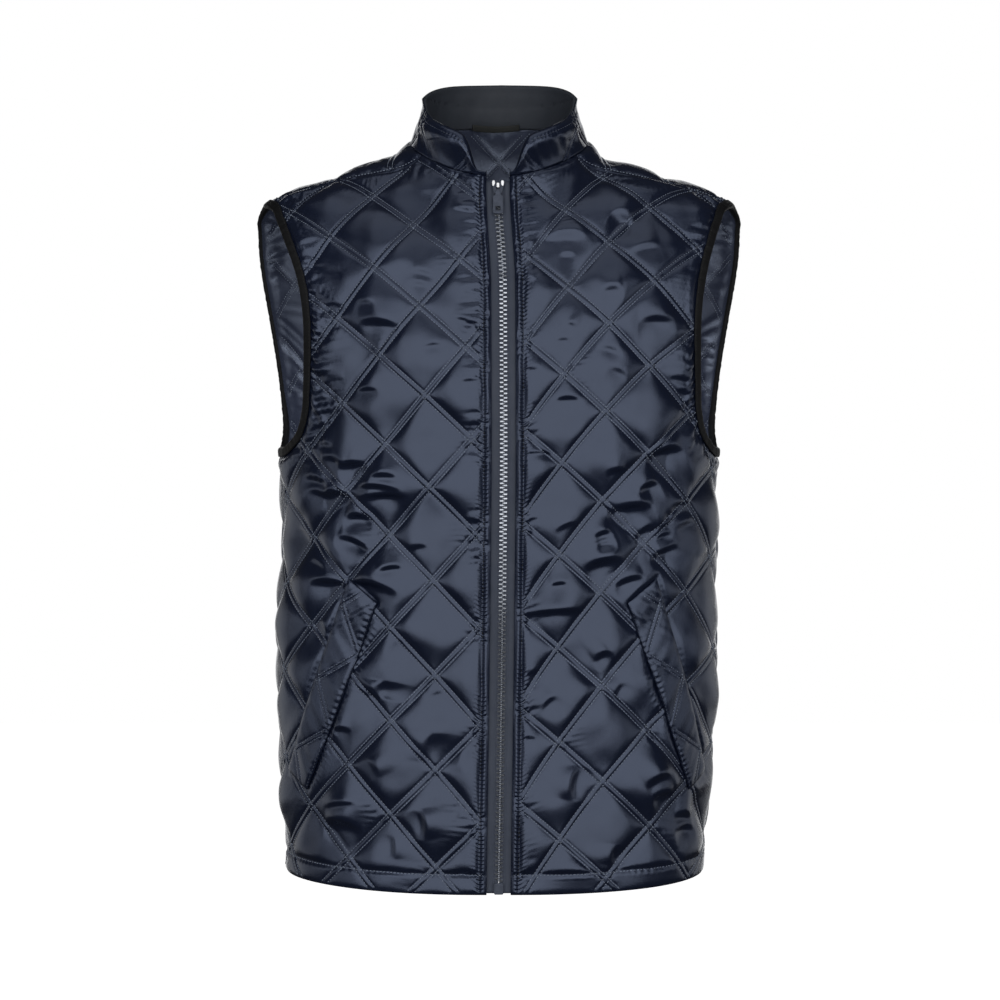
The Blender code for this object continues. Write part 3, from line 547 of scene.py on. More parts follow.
def slow_noise(shape, n, seed):
    c = np.random.default_rng(seed).standard_normal((shape[0] // n + 3, shape[1] // n + 3))
    x, y = np.arange(shape[0]) / n, np.arange(shape[1]) / n
    i, j = x.astype(int), y.astype(int)
    fx, fy = (x - i)[:, None], (y - j)[None]
    fx, fy = fx * fx * (3 - 2 * fx), fy * fy * (3 - 2 * fy)
    return (c[i][:, j] * (1 - fx) * (1 - fy) + c[i + 1][:, j] * fx * (1 - fy)
            + c[i][:, j + 1] * (1 - fx) * fy + c[i + 1][:, j + 1] * fx * fy)

def relax(pin, slack_u, slack_v, low, high, rounds, seed, bend=0.6):
    """Lays slack cloth over a lattice that is stitched down where pin is 1.

    Nodes sit on the quilt lattice.  slack_u and slack_v are the spare cloth
    across and up the piece.  Returns each node's move along the two quilt
    directions and its height.
    """
    shape = pin.shape
    d = CELL / PER
    free = (1 - np.clip(pin, 0, 1)).astype(np.float32)
    X = np.zeros(shape + (3,), np.float32)
    X[..., 0] = np.arange(shape[0])[:, None] * d
    X[..., 1] = np.arange(shape[1])[None] * d
    H0 = X.copy()
    X[..., 2] = np.random.default_rng(seed).random(shape) * 0.0006 * (free > 0)
    low, high = low.astype(np.float32), high.astype(np.float32)
    hold = pin.astype(np.float32)[..., None]
    links = []
    for di, dj, k in ((1, 0, 1.0), (0, 1, 1.0), (1, 1, 0.6), (1, -1, 0.6), (2, 0, bend), (0, 2, bend),
                      (2, 2, bend * 0.7), (2, -2, bend * 0.7), (4, 0, bend * 0.6), (0, 4, bend * 0.6)):
        A = (slice(max(0, -di), shape[0] - max(0, di)), slice(max(0, -dj), shape[1] - max(0, dj)))
        B = (slice(max(0, di), shape[0] + min(0, di)), slice(max(0, dj), shape[1] + min(0, dj)))
        du, dv = (di + dj) * d / math.sqrt(2), (di - dj) * d / math.sqrt(2)
        fu, fv = (slack_u[A] + slack_u[B]) / 2, (slack_v[A] + slack_v[B]) / 2
        rest = np.sqrt((du * (1 + fu)) ** 2 + (dv * (1 + fv)) ** 2).astype(np.float32)
        links.append((A, B, rest, k))
    V = np.zeros_like(X)
    live = (free > 0.01)[..., None]
    for _ in range(rounds):
        V *= 0.92
        V[..., 2] += 0.00001 * free
        Y = X + V * live
        for _ in range(3):
            for A, B, rest, k in links:
                D = Y[B] - Y[A]
                length = np.sqrt((D * D).sum(-1))
                wa, wb = free[A], free[B]
                c = (0.5 * k * (length - rest) / (length * (wa + wb + 1e-6)))[..., None] * D
                Y[A] += c * (0.9 * wa)[..., None]
                Y[B] -= c * (0.9 * wb)[..., None]
            Y += (H0 - Y) * hold
            z = Y[..., 2]
            z += 0.04 * (high - z)
            z += 0.5 * (np.clip(z, low, high + 0.0022) - z)
        V = (Y - X) * live
        X = Y
    return X - H0

def cubic_sample(table, i, j):
    """Smooth reading of a table at broken places."""
    def weights(t):
        return ((-t + 2 * t * t - t ** 3) / 2, (2 - 5 * t * t + 3 * t ** 3) / 2,
                (t + 4 * t * t - 3 * t ** 3) / 2, (-t * t + t ** 3) / 2)
    a, b = np.floor(i).astype(int), np.floor(j).astype(int)
    wa, wb = weights(i - a), weights(j - b)
    out = 0
    for m in range(4):
        for n in range(4):
            row = np.clip(a + m - 1, 0, table.shape[0] - 1)
            col = np.clip(b + n - 1, 0, table.shape[1] - 1)
            out = out + table[row, col] * (wa[m] * wb[n])[:, None]
    return out

def dome(pq, lean=None):
    """0 on the stitch rows, 1 at the top of each diamond, which lean shifts."""
    f = np.clip((pq - np.floor(pq) - ROW) / (1 - 2 * ROW), 0, 1)
    if lean is not None:
        f = f - lean * f * (1 - f)
    f = 4 * f * (1 - f)
    return f[..., 0] * f[..., 1]

def to_line(pq):
    """Distance to the nearest quilting line, in diamonds' sides."""
    return np.abs(pq - np.round(pq)).min(-1)
# ------------------------------------------------------------ creases
# Listed creases of the fronts: x and z seen from the front in mm, degrees
# from level, length, half width and depth in mm
CREASES = {
    "front_right": [
        # under the arm and at the waist
        (-167, -301,   0, 20, 3.2, 1.6), (-158, -316, -20, 26, 3.6, 2.0), (-142, -321,   8, 30, 4.4, 2.8),
        (-109, -331,   0, 30, 4.0, 2.8), (-115, -342,  -5, 46, 3.6, 2.8), (-111, -351,   2, 50, 3.4, 2.6),
        (-175, -335, -20, 28, 3.6, 2.2), (-168, -351, -25, 36, 3.6, 2.2), (-155, -349, -12, 30, 3.8, 2.8),
        (-135, -371,  -5, 28, 4.4, 3.0), (-139, -395, -25, 34, 3.6, 2.8), (-191, -389, -45, 24, 3.6, 1.8),
        (-174, -417, -30, 24, 3.4, 1.8), (-163, -435,  -5, 40, 4.0, 2.8), (-119, -437, -15, 52, 4.2, 2.8),
        (-104, -420,  12, 24, 3.0, 2.4), (-170, -478, -50, 16, 2.6, 1.4), ( -79, -400,  10, 22, 3.2, 1.6),
        # chest
        (-114, -185,  -6, 44, 4.2, 2.4), ( -72, -136, -12, 26, 3.2, 1.5), ( -76, -147,  -8, 24, 3.0, 1.4),
        ( -63, -207,   8, 24, 3.2, 1.5), (-160, -166, -10, 26, 3.4, 1.6), (-129, -165,  -4, 22, 3.2, 1.4),
        (-127, -249,   4, 26, 3.4, 1.6), ( -32,  -76, -14, 28, 3.4, 1.8), ( -28, -157,  -8, 24, 3.0, 1.6),
        ( -32, -183, -16, 26, 3.2, 1.8), ( -28, -241,   4, 22, 3.0, 1.4), ( -19, -192, -32, 16, 2.6, 1.8),
        # below the waist
        ( -71, -665, -80, 31, 4.0, 2.6), (-153, -648,  11, 36, 3.4, 2.0), (-150, -667, -10, 40, 5.6, 3.0),
        (-152, -576,   0, 18, 3.0, 2.0), (-115, -537,  80, 18, 4.6, 2.6), (-101, -688, -88, 24, 2.6, 1.6),
        ( -69, -592,  85, 30, 5.0, 2.2), (-103, -499,  75, 26, 5.0, 1.8), ( -34, -604,  85, 24, 2.6, 1.2),
        ( -39, -655,  80, 20, 2.6, 1.3), ( -60, -540,  20, 20, 4.0, 1.2), (-118, -612, -60, 22, 4.4, 1.6),
    ],
    "front_left": [
        (  61, -202,   4, 18, 3.0, 1.2), ( 107, -210, -15, 26, 3.2, 1.6), (  66, -258,   0, 28, 3.8, 2.0),
        ( 111, -327,   4, 20, 3.0, 2.0), ( 124, -362,  12, 48, 4.6, 3.2), ( 158, -308,  20, 40, 5.0, 3.2),
        ( 142, -341,  25, 24, 3.6, 2.6), (  98, -387,  20, 20, 3.6, 2.6), ( 101, -396,  14, 22, 3.0, 1.8),
        (  99, -414,  15, 40, 4.8, 3.2), ( 137, -387,  48, 26, 3.2, 2.2), ( 158, -380,  30, 18, 2.8, 2.0),
        ( 158, -389,  20, 18, 2.8, 2.0), ( 158, -405,  30, 32, 3.0, 2.4), ( 124, -432,  20, 32, 3.6, 2.6),
        (  57, -435,   8, 20, 3.2, 2.0), (  53, -462,   5, 60, 3.8, 2.4), ( 178, -359,  10, 26, 3.8, 2.2),
        ( 180, -378,  24, 22, 3.2, 1.8), ( 199, -408,  30, 20, 3.0, 1.6), (  63, -380,  25, 24, 3.8, 1.6),
        (  38, -310,   0, 30, 2.6, 1.6), (  32, -230,   0, 18, 3.2, 1.4),
        # chest
        (  61, -100,   4, 54, 5.0, 2.4), (  66, -118,   0, 15, 3.4, 1.5), ( 107, -153,   6, 22, 4.0, 2.0),
        ( 152, -181,   0, 38, 5.0, 2.2), (  70, -188, -30, 12, 3.0, 1.6), ( 121,  -81, -25, 28, 5.0, 2.6),
        (  28, -144,   0, 16, 3.4, 1.6), ( 140, -110,  14, 34, 4.6, 1.8), ( 116, -232, -30, 24, 4.0, 1.4),
        # below the waist
        (  97, -504,  35, 20, 4.0, 2.4), (  46, -549,  50, 24, 4.0, 2.0), (  70, -626,  80, 34, 4.5, 2.8),
        ( 150, -623,  28, 30, 4.5, 2.8), ( 156, -639,  10, 24, 4.0, 2.4), ( 180, -661, -10, 20, 4.0, 2.4),
        ( 180, -674,   8, 22, 4.0, 2.4), ( 152, -531, -15, 16, 2.6, 1.6), ( 114, -537,  60, 20, 3.6, 1.8),
        ( 109, -696,  80, 20, 3.5, 2.0), (  33, -520,   8, 18, 3.0, 1.2), (  30, -582,  -4, 16, 3.0, 1.2),
    ],
}

def crease_height(x, z, rows):
    """Soft one-sided folds: full above the line, steep on it, hollow below."""
    h = np.zeros(len(x))
    for cx, cz, degrees, length, width, depth in rows:
        strong = np.clip((depth - 1.8) / 0.8, 0, 1)
        cx, cz, length, width, depth = (0.001 * k for k in (cx, cz, length, (1.2 + 0.35 * strong) * width, (1.4 + 1.0 * strong) * depth))
        near = np.flatnonzero((np.abs(x - cx) < length * 0.6 + 4 * width)
                              & (np.abs(z - cz) < length * 0.6 + 4 * width))
        if not len(near):
            continue
        c, s = math.cos(math.radians(degrees)), math.sin(math.radians(degrees))
        dx, dz = x[near] - cx, z[near] - cz
        a = np.clip((dx * c + dz * s) / (length / 2), -1.35, 1.35)
        end = np.clip(1 - np.clip(np.abs(a), 0, 1) ** 2.2, 0, 1) ** 1.3
        t = (-dx * s + dz * c) / width + 0.5 * a * a
        h[near] += 0.62 * depth * end * np.tanh(2.0 * t) * np.exp(-(np.abs(t) / 2.8) ** 1.6)
    return h

def scattered_creases(seed, count, x_range, z_range):
    """Creases like the listed ones, for the sides that are out of sight."""
    r = np.random.default_rng(seed)
    rows = []
    for _ in range(count):
        strong = r.random()
        rows.append((1000 * r.uniform(*x_range), 1000 * r.uniform(*z_range), r.normal(0, 16),
                     r.uniform(18, 46), r.uniform(2.8, 4.8), 1.0 + 1.7 * strong * strong))
    return rows

def hill_waves(seed, count, short, long):
    r = np.random.default_rng(seed)
    turn = r.uniform(0, math.pi, count)
    d = np.stack([np.cos(turn), r.normal(0, 0.25, count), np.sin(turn)], 1)
    return d, r.uniform(short, long, count), r.uniform(0, 2 * math.pi, count)

HILLS, HILL_SLOPE = hill_waves(17, 14, 0.055, 0.13), 0.085
DENTS, DENT_SLOPE = hill_waves(29, 20, 0.021, 0.046), 0.075

def hills(p, waves, slope):
    """Slow hills of the hanging cloth, alike on both sides of a seam."""
    d, wave, phase = waves
    h = (wave * np.sin((p @ d.T) * (2 * math.pi / wave) + phase)).sum(1)
    return h * slope / (2 * math.pi) * math.sqrt(2 / len(wave))

# --------------------------------------------------------- pocket places
def welt_frame():
    """Seam points of a welt, its directions across, from its top end."""
    t = np.linspace(0, 1, 40)[:, None]
    line = np.array(WELT_TOP) * (1 - t) + np.array(WELT_LOW) * t
    p = onto(np.stack([line[:, 0], np.full(len(line), -0.11), line[:, 1]], 1), along=np.array([0, 1.0, 0]))
    across = np.cross(normals(p), np.gradient(p, axis=0))
    across /= np.linalg.norm(across, axis=1, keepdims=True)
    return p, across * np.sign(across[:, :1])

WELT_P, WELT_ACROSS = welt_frame()
WELT_LONG = np.linalg.norm(np.diff(WELT_P, axis=0), axis=1).sum()
WELT_SLANT = 0.0115         # how much lower the top edge is at the seam

def welt_place(p):
    """Distance down a welt's seam and out across it, for form points."""
    d = WELT_P[-1] - WELT_P[0]
    t = ((p - WELT_P[0]) @ d) / (d @ d)
    k = np.clip(t, 0, 1) * (len(WELT_P) - 1)
    s, c = bilinear(WELT_P[:, None].repeat(2, 1), k, 0 * k), bilinear(WELT_ACROSS[:, None].repeat(2, 1), k, 0 * k)
    return t * WELT_LONG, ((p - s) * c).sum(1)

def under_welt(p, reach=0.004):
    """1 under a welt, 0 well clear of it."""
    a, b = welt_place(p)
    out = np.maximum.reduce([WELT_SLANT * (1 - b / WELT_WIDTH) - a, a - WELT_LONG, -b, b - WELT_WIDTH])
    return np.clip(1 - out / reach, 0, 1)

def ease(t):
    t = np.clip(t, 0, 1)
    return t * t * (3 - 2 * t)

def cell_random(cells, seed):
    """A number from 0 to 1 for each diamond."""
    k = np.floor(cells).astype(int) % 64
    return np.random.default_rng(seed).random((64, 64))[k[..., 0], k[..., 1]]

# ---------------------------------------------------------- quilted panels
STITCH_LEVEL = -0.0013      # stitched lines lie below the form's face
FOLD = 0.0072               # from the folded front edge to its stitches
TOPSTITCH = EDGE_X + FOLD
HEM_STITCH = 0.019
HALF_WALL = PANEL_WALL / 2
LOFT = {"front_right": 0.0032, "front_left": 0.0032, "back": 0.0036}

class Panel:
    def __init__(self, name, pattern, sign, seed):
        self.name, self.pattern, self.sign, self.quilt = name, pattern, sign, QUILT[name]
        self.poly = pattern.outline()
        self.creases = CREASES.get(name, [])
        self.hang(seed)

    def edges(self, uv):
        q = uv.copy()
        if self.pattern.back:
            q[:, 0] = np.abs(q[:, 0])
        return {k: dist_line(q, line) for k, line in self.pattern.lines.items()}

    def lean(self, uv):
        """How far the filling has settled toward the edges of its diamond."""
        low = ease((-0.19 - uv[..., 1]) / 0.16)
        if self.pattern.back:
            return np.stack([0 * low - 0.40, 0 * low + 0.40], -1)
        return np.stack([0.50 - 0.16 * low, 0.14 + 0.64 * low], -1)

    def unswayed(self, p):
        sway = sway_all(p[:, 2])[0] + sway_zip(p[:, 2])[0] * np.clip(-p[:, 1] / 0.10, 0, 1) ** 2
        return np.stack([np.abs(p[:, 0] - sway), p[:, 1], p[:, 2]], 1)

    def covered(self, p, reach):
        """1 under the pocket welt; p is a point of the swayed form."""
        if self.pattern.back:
            return np.zeros(len(p))
        return under_welt(self.unswayed(p), reach)

    def seam_puckers(self, p):
        """Small puckers of the front beside the welt's seam."""
        a, b = welt_place(self.unswayed(p))
        tick = np.clip(np.cos(2 * math.pi * (a + 0.4 * b) / 0.0061 + 2.3 * np.sin(a * 71 + self.sign)), -0.3, 1)
        uneven = np.clip(0.55 + 0.5 * np.sin(a * 57 + 2 * self.sign), 0, 1)
        along = ease((a - WELT_SLANT) / 0.01) * ease((WELT_LONG - a) / 0.01)
        return -0.0009 * uneven * tick * along * np.exp(-((b + 0.0035) / 0.0045) ** 2)

    def hill(self, p, d):
        free = np.minimum.reduce([d[k] for k in d if k != "side"])
        return hills(p, HILLS, HILL_SLOPE) * ease((free - 0.004) / 0.022) * (1 - ease(self.covered(p, 0.022)))

    def hang(self, seed):
        """Relaxes the slack outer cloth between its stitches."""
        back = self.pattern.back
        pq = self.quilt.at(self.poly)
        self.lo = np.floor(pq.min(0) * PER - 4).astype(int)
        hi = np.ceil(pq.max(0) * PER + 4).astype(int)
        ii, jj = np.meshgrid(np.arange(self.lo[0], hi[0] + 1), np.arange(self.lo[1], hi[1] + 1), indexing="ij")
        shape = ii.shape
        cells = np.stack([ii, jj], -1) / PER
        uv = self.quilt.invert(cells, (0.0 if back else 0.12, -0.37)).reshape(-1, 2)
        ok = inside(uv, self.poly)
        known = uv[ok]
        d = {k: np.full(len(uv), 0.05) for k in self.pattern.lines}
        for k, v in self.edges(known).items():
            d[k][ok] = v
        row = lambda k: (k % PER == 1) | (k % PER == PER - 1)
        pin = np.where(row(ii) | row(jj), 0.9, 0.0).ravel()
        edge = np.minimum.reduce([d[k] for k in d])
        pin = np.maximum(pin, np.clip(1.15 - edge / 0.002, 0, 1))
        pin = np.maximum(pin, np.clip(1.15 - (d["arm"] - 0.0071) / 0.002, 0, 1))
        pin = np.maximum(pin, np.clip(1.15 - np.abs(d["hem"] - HEM_STITCH) / 0.002, 0, 0.95))
        near = lambda k, r: np.exp(-(d[k] / r) ** 2)
        noise = lambda n, s: slow_noise(shape, n, seed + s).ravel()
        su = 0.010 + 0.008 * noise(14, 1) + 0.03 * near("neck", 0.02) + 0.03 * near("hem", 0.024) + 0.05 * near("shoulder", 0.02)
        sv = 0.017 + 0.013 * noise(14, 2) + 0.06 * near("arm", 0.028) + 0.02 * near("side", 0.03)
        if not back:
            beside = uv[:, 0] - TOPSTITCH
            pin = np.maximum(pin, np.clip(1.15 - np.abs(beside) / 0.002, 0, 0.95))
            sv = sv + 0.06 * np.exp(-(beside / 0.014) ** 2)
            covered = np.zeros(len(uv))
            covered[ok] = under_welt(self.pattern.on_form(known)[0], 0.0020)
            pin = np.maximum(pin, covered)
        pin[~ok] = 1
        leaning = self.lean(uv).reshape(shape + (2,)) * (0.55 + 0.9 * cell_random(cells, seed + 40))[..., None]
        lofted = dome(cells, np.clip(leaning, -0.9, 0.9)).ravel()
        full = (0.80 + 0.45 * cell_random(cells, seed + 41).ravel()) * (1 + 0.40 * ease((-0.19 - uv[:, 1]) / 0.16))
        high = (LOFT[self.name] * full * lofted ** 0.85 + 0.0005 * lofted ** 0.4) * (1 + 0.15 * noise(20, 9))
        low = 0.0008 * lofted - 0.0006
        fit = lambda a: a.reshape(shape)
        self.disp = relax(fit(pin), fit(np.clip(su, 0, 0.15)), fit(np.clip(sv, 0, 0.15)), fit(low), fit(high),
                          60, seed)

    def outer(self, uv, detail=True):
        pq = self.quilt.at(uv)
        s = cubic_sample(self.disp, pq[:, 0] * PER - self.lo[0], pq[:, 1] * PER - self.lo[1])
        d = self.edges(uv)
        edge = np.minimum.reduce(list(d.values()))
        shift = self.quilt.step(uv, s[:, :2] / CELL) * ease(edge / 0.01)[:, None]
        p, n = self.pattern.place(uv + shift, self.sign)
        h = STITCH_LEVEL + s[:, 2] * (0.30 + 0.70 * ease((d["hem"] - HEM_STITCH + 0.006) / 0.006))
        w = to_line(pq)
        seamed = np.minimum.reduce([d[k] for k in d if k != "arm"])
        line = ease((seamed - 0.002) / 0.004)
        if not self.pattern.back:
            line = line * ease((uv[:, 0] - TOPSTITCH - 0.001) / 0.004)
        h += line * (0.0007 * np.clip(1 - (w / ROW) ** 2, 0, 1) - 0.0006 * np.exp(-((w - ROW) / 0.012) ** 2))
        h += crease_height(p[:, 0], p[:, 2], self.creases) * ease(edge / 0.004)
        h += hills(p, DENTS, DENT_SLOPE) * dome(pq) ** 0.7 * ease((edge - 0.010) / 0.02)
        if not self.pattern.back:
            h = self.zip_edge(uv, h)
            h = h + self.seam_puckers(p)
            cover = self.covered(p, 0.0014)
            h = h * (1 - cover) + np.minimum(h, -0.0007) * cover
        # hem: turned up, full at the fold, drawn in at its stitches
        hem = d["hem"]
        h += 0.0006 * np.clip(1 - ((hem - 0.0095) / 0.0095) ** 4, 0, 1)
        wave = np.sin(uv[:, 0] * 2 * math.pi / 0.0062 + 2.2 * np.sin(uv[:, 0] * 61) + 1.3 * np.sin(uv[:, 0] * 23))
        h -= np.exp(-((hem - HEM_STITCH) / 0.0028) ** 2) * (0.0004 + 0.0004 * wave)
        # cloth lies flat under the armhole binding
        flat = ease((d["arm"] - 0.0071) / 0.007)
        h = h * flat + np.clip(h, -0.0006, 0.0001) * (1 - flat)
        h = self.arm_edge(uv, h, d["arm"])
        turned = np.minimum(hem, d["zip"]) if "zip" in d else hem
        for e, r in ((turned, 0.0026), (np.minimum(d["side"], d["shoulder"]), 0.0040), (d["neck"], 0.0022), (d["arm"], 0.0012)):
            t = np.clip(e / r, 0, 1)
            h = -HALF_WALL + (h + HALF_WALL) * np.sqrt(np.clip(1 - (1 - t) ** 2, 0, 1))
        h = np.maximum(h, self.inner_height(pq, edge) + 0.0007 * ease(edge / 0.003))
        return p + n * (h + self.hill(p, d))[:, None], n

    def arm_edge(self, uv, h, arm):
        """Puckers that run in from the armhole binding."""
        near = np.flatnonzero(arm < 0.045)
        if not len(near):
            return h
        q, e, turn = uv[near].copy(), arm[near], 2.0 * self.sign
        if self.pattern.back:
            turn = turn + np.sign(q[:, 0])
            q[:, 0] = np.abs(q[:, 0])
        s = along_line(q, self.pattern.lines["arm"])
        phase = 2 * math.pi * (s + 0.5 * (e - 0.009)) / 0.0088 + 2.0 * np.sin(43 * s + turn) + 1.2 * np.sin(97 * s)
        strength = np.clip(0.55 + 0.6 * np.sin(31 * s + 2 * turn), 0, 1.1)
        h = h.copy()
        h[near] -= 0.0014 * strength * np.clip(np.cos(phase), -0.35, 1) * np.exp(-((e - 0.0090) / 0.0095) ** 2) * ease((e - 0.005) / 0.0035)
        h[near] += arm_creases(s, e, 3 + int(self.sign)) * ease((e - 0.006) / 0.008)
        return h

    def inner_creases(self, uv, arm):
        """Ridges in the lining, drawn in from the armhole binding."""
        h = np.zeros(len(uv))
        near = np.flatnonzero(arm < 0.085)
        if not self.pattern.back or not len(near):
            return h
        q, e = uv[near].copy(), arm[near]
        side = np.sign(q[:, 0])
        q[:, 0] = np.abs(q[:, 0])
        s = along_line(q, self.pattern.lines["arm"])
        for k in (-1, 1):
            on = side == k
            h[near[on]] = -2.2 * np.abs(arm_creases(s[on], e[on], 12 + k, 24, 1.7)) * ease((e[on] - 0.006) / 0.008)
        return h

    def zip_edge(self, uv, h):
        """Full folded edge beside the zip, puckered at its stitches."""
        x = uv[:, 0] - EDGE_X
        v = uv[:, 1]
        h = h + 0.0011 * np.clip(1 - ((x - FOLD / 2) / (FOLD / 2)) ** 2, 0, 1) ** 0.7 + 0.0011 * np.exp(-((x - FOLD) / 0.005) ** 2)
        slant = np.where(x > FOLD, 0.55, -0.20) * (x - FOLD)
        phase = 2 * math.pi * (v - slant) / 0.0039 + 0.9 * np.sin(v * 71 + self.sign) + 0.6 * np.sin(v * 187) + 1.6 * np.sin(v * 29)
        strength = 0.75 + 0.35 * np.sin(v * 47 + 2 * self.sign)
        tick = (0.5 + 0.5 * np.cos(phase)) ** 1.5
        away = np.where(x > FOLD, 0.0046, 0.0038)
        h = h - 0.0016 * strength * tick * np.exp(-((x - FOLD) / away) ** 2)
        return h - 0.0005 * np.exp(-((x - FOLD) / 0.0014) ** 2)

    def inner_height(self, pq, edge):
        h = -0.0029 - 0.0016 * dome(pq) ** 0.6 + 0.0003 * np.clip(1 - (to_line(pq) / ROW) ** 2, 0, 1)
        t = np.clip(edge / 0.003, 0, 1)
        return -HALF_WALL + (h + HALF_WALL) * np.sqrt(np.clip(1 - (1 - t) ** 2, 0, 1))

    def inner(self, uv):
        pq = self.quilt.at(uv)
        d = self.edges(uv)
        edge = np.minimum.reduce(list(d.values()))
        p, n = self.pattern.place(uv, self.sign)
        h = self.inner_height(pq, edge)
        if self.pattern.back:
            # thin under the armhole binding
            flat = ease((d["arm"] - 0.009) / 0.010)
            h = h * flat + np.maximum(h, -0.0025) * (1 - flat)
        return p + n * (h + self.hill(p, d) + self.inner_creases(uv, d["arm"]))[:, None], n

    def rim(self, uv):
        p, n = self.pattern.place(uv, self.sign)
        return p + n * (self.hill(p, self.edges(uv)) - HALF_WALL)[:, None], n

def arm_creases(s, e, seed, count=15, broad=1.0):
    """Height of creases square to the armhole: s along it, e in from it."""
    r = np.random.default_rng(seed)
    total, h = 0.40, np.zeros(len(s))
    for k in range(count):
        at = total * (k + r.uniform(0.1, 0.9)) / count
        long, wide, high = r.uniform(0.018, 0.052) * broad, r.uniform(0.0026, 0.0052) * broad, r.uniform(0.0006, 0.0019)
        slant, bend = r.uniform(-0.75, 0.35), r.uniform(-7.0, 7.0)
        x = (s - at - slant * e - bend * e * e) / wide
        fade = np.clip(1 - e / long, 0, 1)
        h += high * (np.exp(-(x - 0.9) ** 2) - 0.8 * np.exp(-((x + 0.7) / 0.8) ** 2)) * fade ** 0.8
    return h

def loop_points(poly, step):
    """Points along a closed outline that keep its corners."""
    out = []
    for a, b in zip(poly, np.roll(poly, -1, 0)):
        k = max(1, int(round(np.linalg.norm(b - a) / step)))
        out.append(a + (b - a) * (np.arange(k) / k)[:, None])
    return np.vstack(out)

def loop_inward(loop):
    d = np.roll(loop, -1, 0) - loop
    d /= np.linalg.norm(d, axis=1, keepdims=True)
    w = np.stack([-d[:, 1], d[:, 0]], 1)
    m = w + np.roll(w, 1, 0)
    m /= np.maximum(np.linalg.norm(m, axis=1, keepdims=True), 1e-9)
    area = 0.5 * (loop[:, 0] * np.roll(loop[:, 1], -1) - loop[:, 1] * np.roll(loop[:, 0], -1)).sum()
    return m if area > 0 else -m

def lattice_points(quilt, poly, fractions, start):
    pq = quilt.at(poly)
    lo, hi = np.floor(pq.min(0)).astype(int), np.ceil(pq.max(0)).astype(int)
    fr = np.asarray(fractions)
    p = (np.arange(lo[0], hi[0])[:, None] + fr[None]).ravel()
    q = (np.arange(lo[1], hi[1])[:, None] + fr[None]).ravel()
    uv = quilt.invert(np.stack(np.meshgrid(p, q, indexing="ij"), -1).reshape(-1, 2), start)
    return uv[inside(uv, poly)]

def cell_fractions(n):
    """Places along a diamond's side, close together at its stitches."""
    near = np.array([0.0, 0.0208, ROW, 0.0625, 0.086])
    mid = np.linspace(0.112, 0.888, n)
    return np.r_[near, mid, 1 - near[:0:-1]]

def triangulate(loop, pts):
    m = len(loop)
    allp = np.vstack([loop, pts])
    r = delaunay_2d_cdt([Vector(q) for q in allp.tolist()], [], [list(range(m))], 1, 1e-9, True)
    back = [o[0] if o else -1 for o in r[3]]
    tris = np.array([[back[k] for k in f] for f in r[2] if len(f) == 3])
    tris = tris[(tris >= 0).all(1)]
    # the outline is hollowed at the armhole and neck: leave what lies outside
    corner = (tris < m).all(1)
    corner[corner] = ~inside(allp[tris[corner]].mean(1), loop)
    tris = tris[~corner]
    a, b, c = allp[tris[:, 0]], allp[tris[:, 1]], allp[tris[:, 2]]
    cr = (b[:, 0] - a[:, 0]) * (c[:, 1] - a[:, 1]) - (b[:, 1] - a[:, 1]) * (c[:, 0] - a[:, 0])
    tris[cr < 0] = tris[cr < 0][:, ::-1]
    return tris

def mesh_object(name, verts, faces, material, uv=None, smooth=True):
    """Object from arrays; faces is an array of triangles or of quads."""
    me = bpy.data.meshes.new(name)
    verts, faces = np.asarray(verts, np.float32), np.asarray(faces, np.int32)
    me.vertices.add(len(verts))
    me.vertices.foreach_set("co", verts.ravel())
    k = faces.shape[1]
    me.loops.add(faces.size)
    me.loops.foreach_set("vertex_index", faces.ravel())
    me.polygons.add(len(faces))
    me.polygons.foreach_set("loop_start", np.arange(0, faces.size, k, dtype=np.int32))
    me.polygons.foreach_set("use_smooth", np.full(len(faces), smooth))
    if uv is not None:
        layer = me.uv_layers.new(name="cut")
        layer.data.foreach_set("uv", np.asarray(uv, np.float32)[faces.ravel()].ravel())
    me.update(calc_edges=True)
    me.validate()
    me.materials.append(material)
    ob = bpy.data.objects.new(name, me)
    bpy.context.scene.collection.objects.link(ob)
    return ob

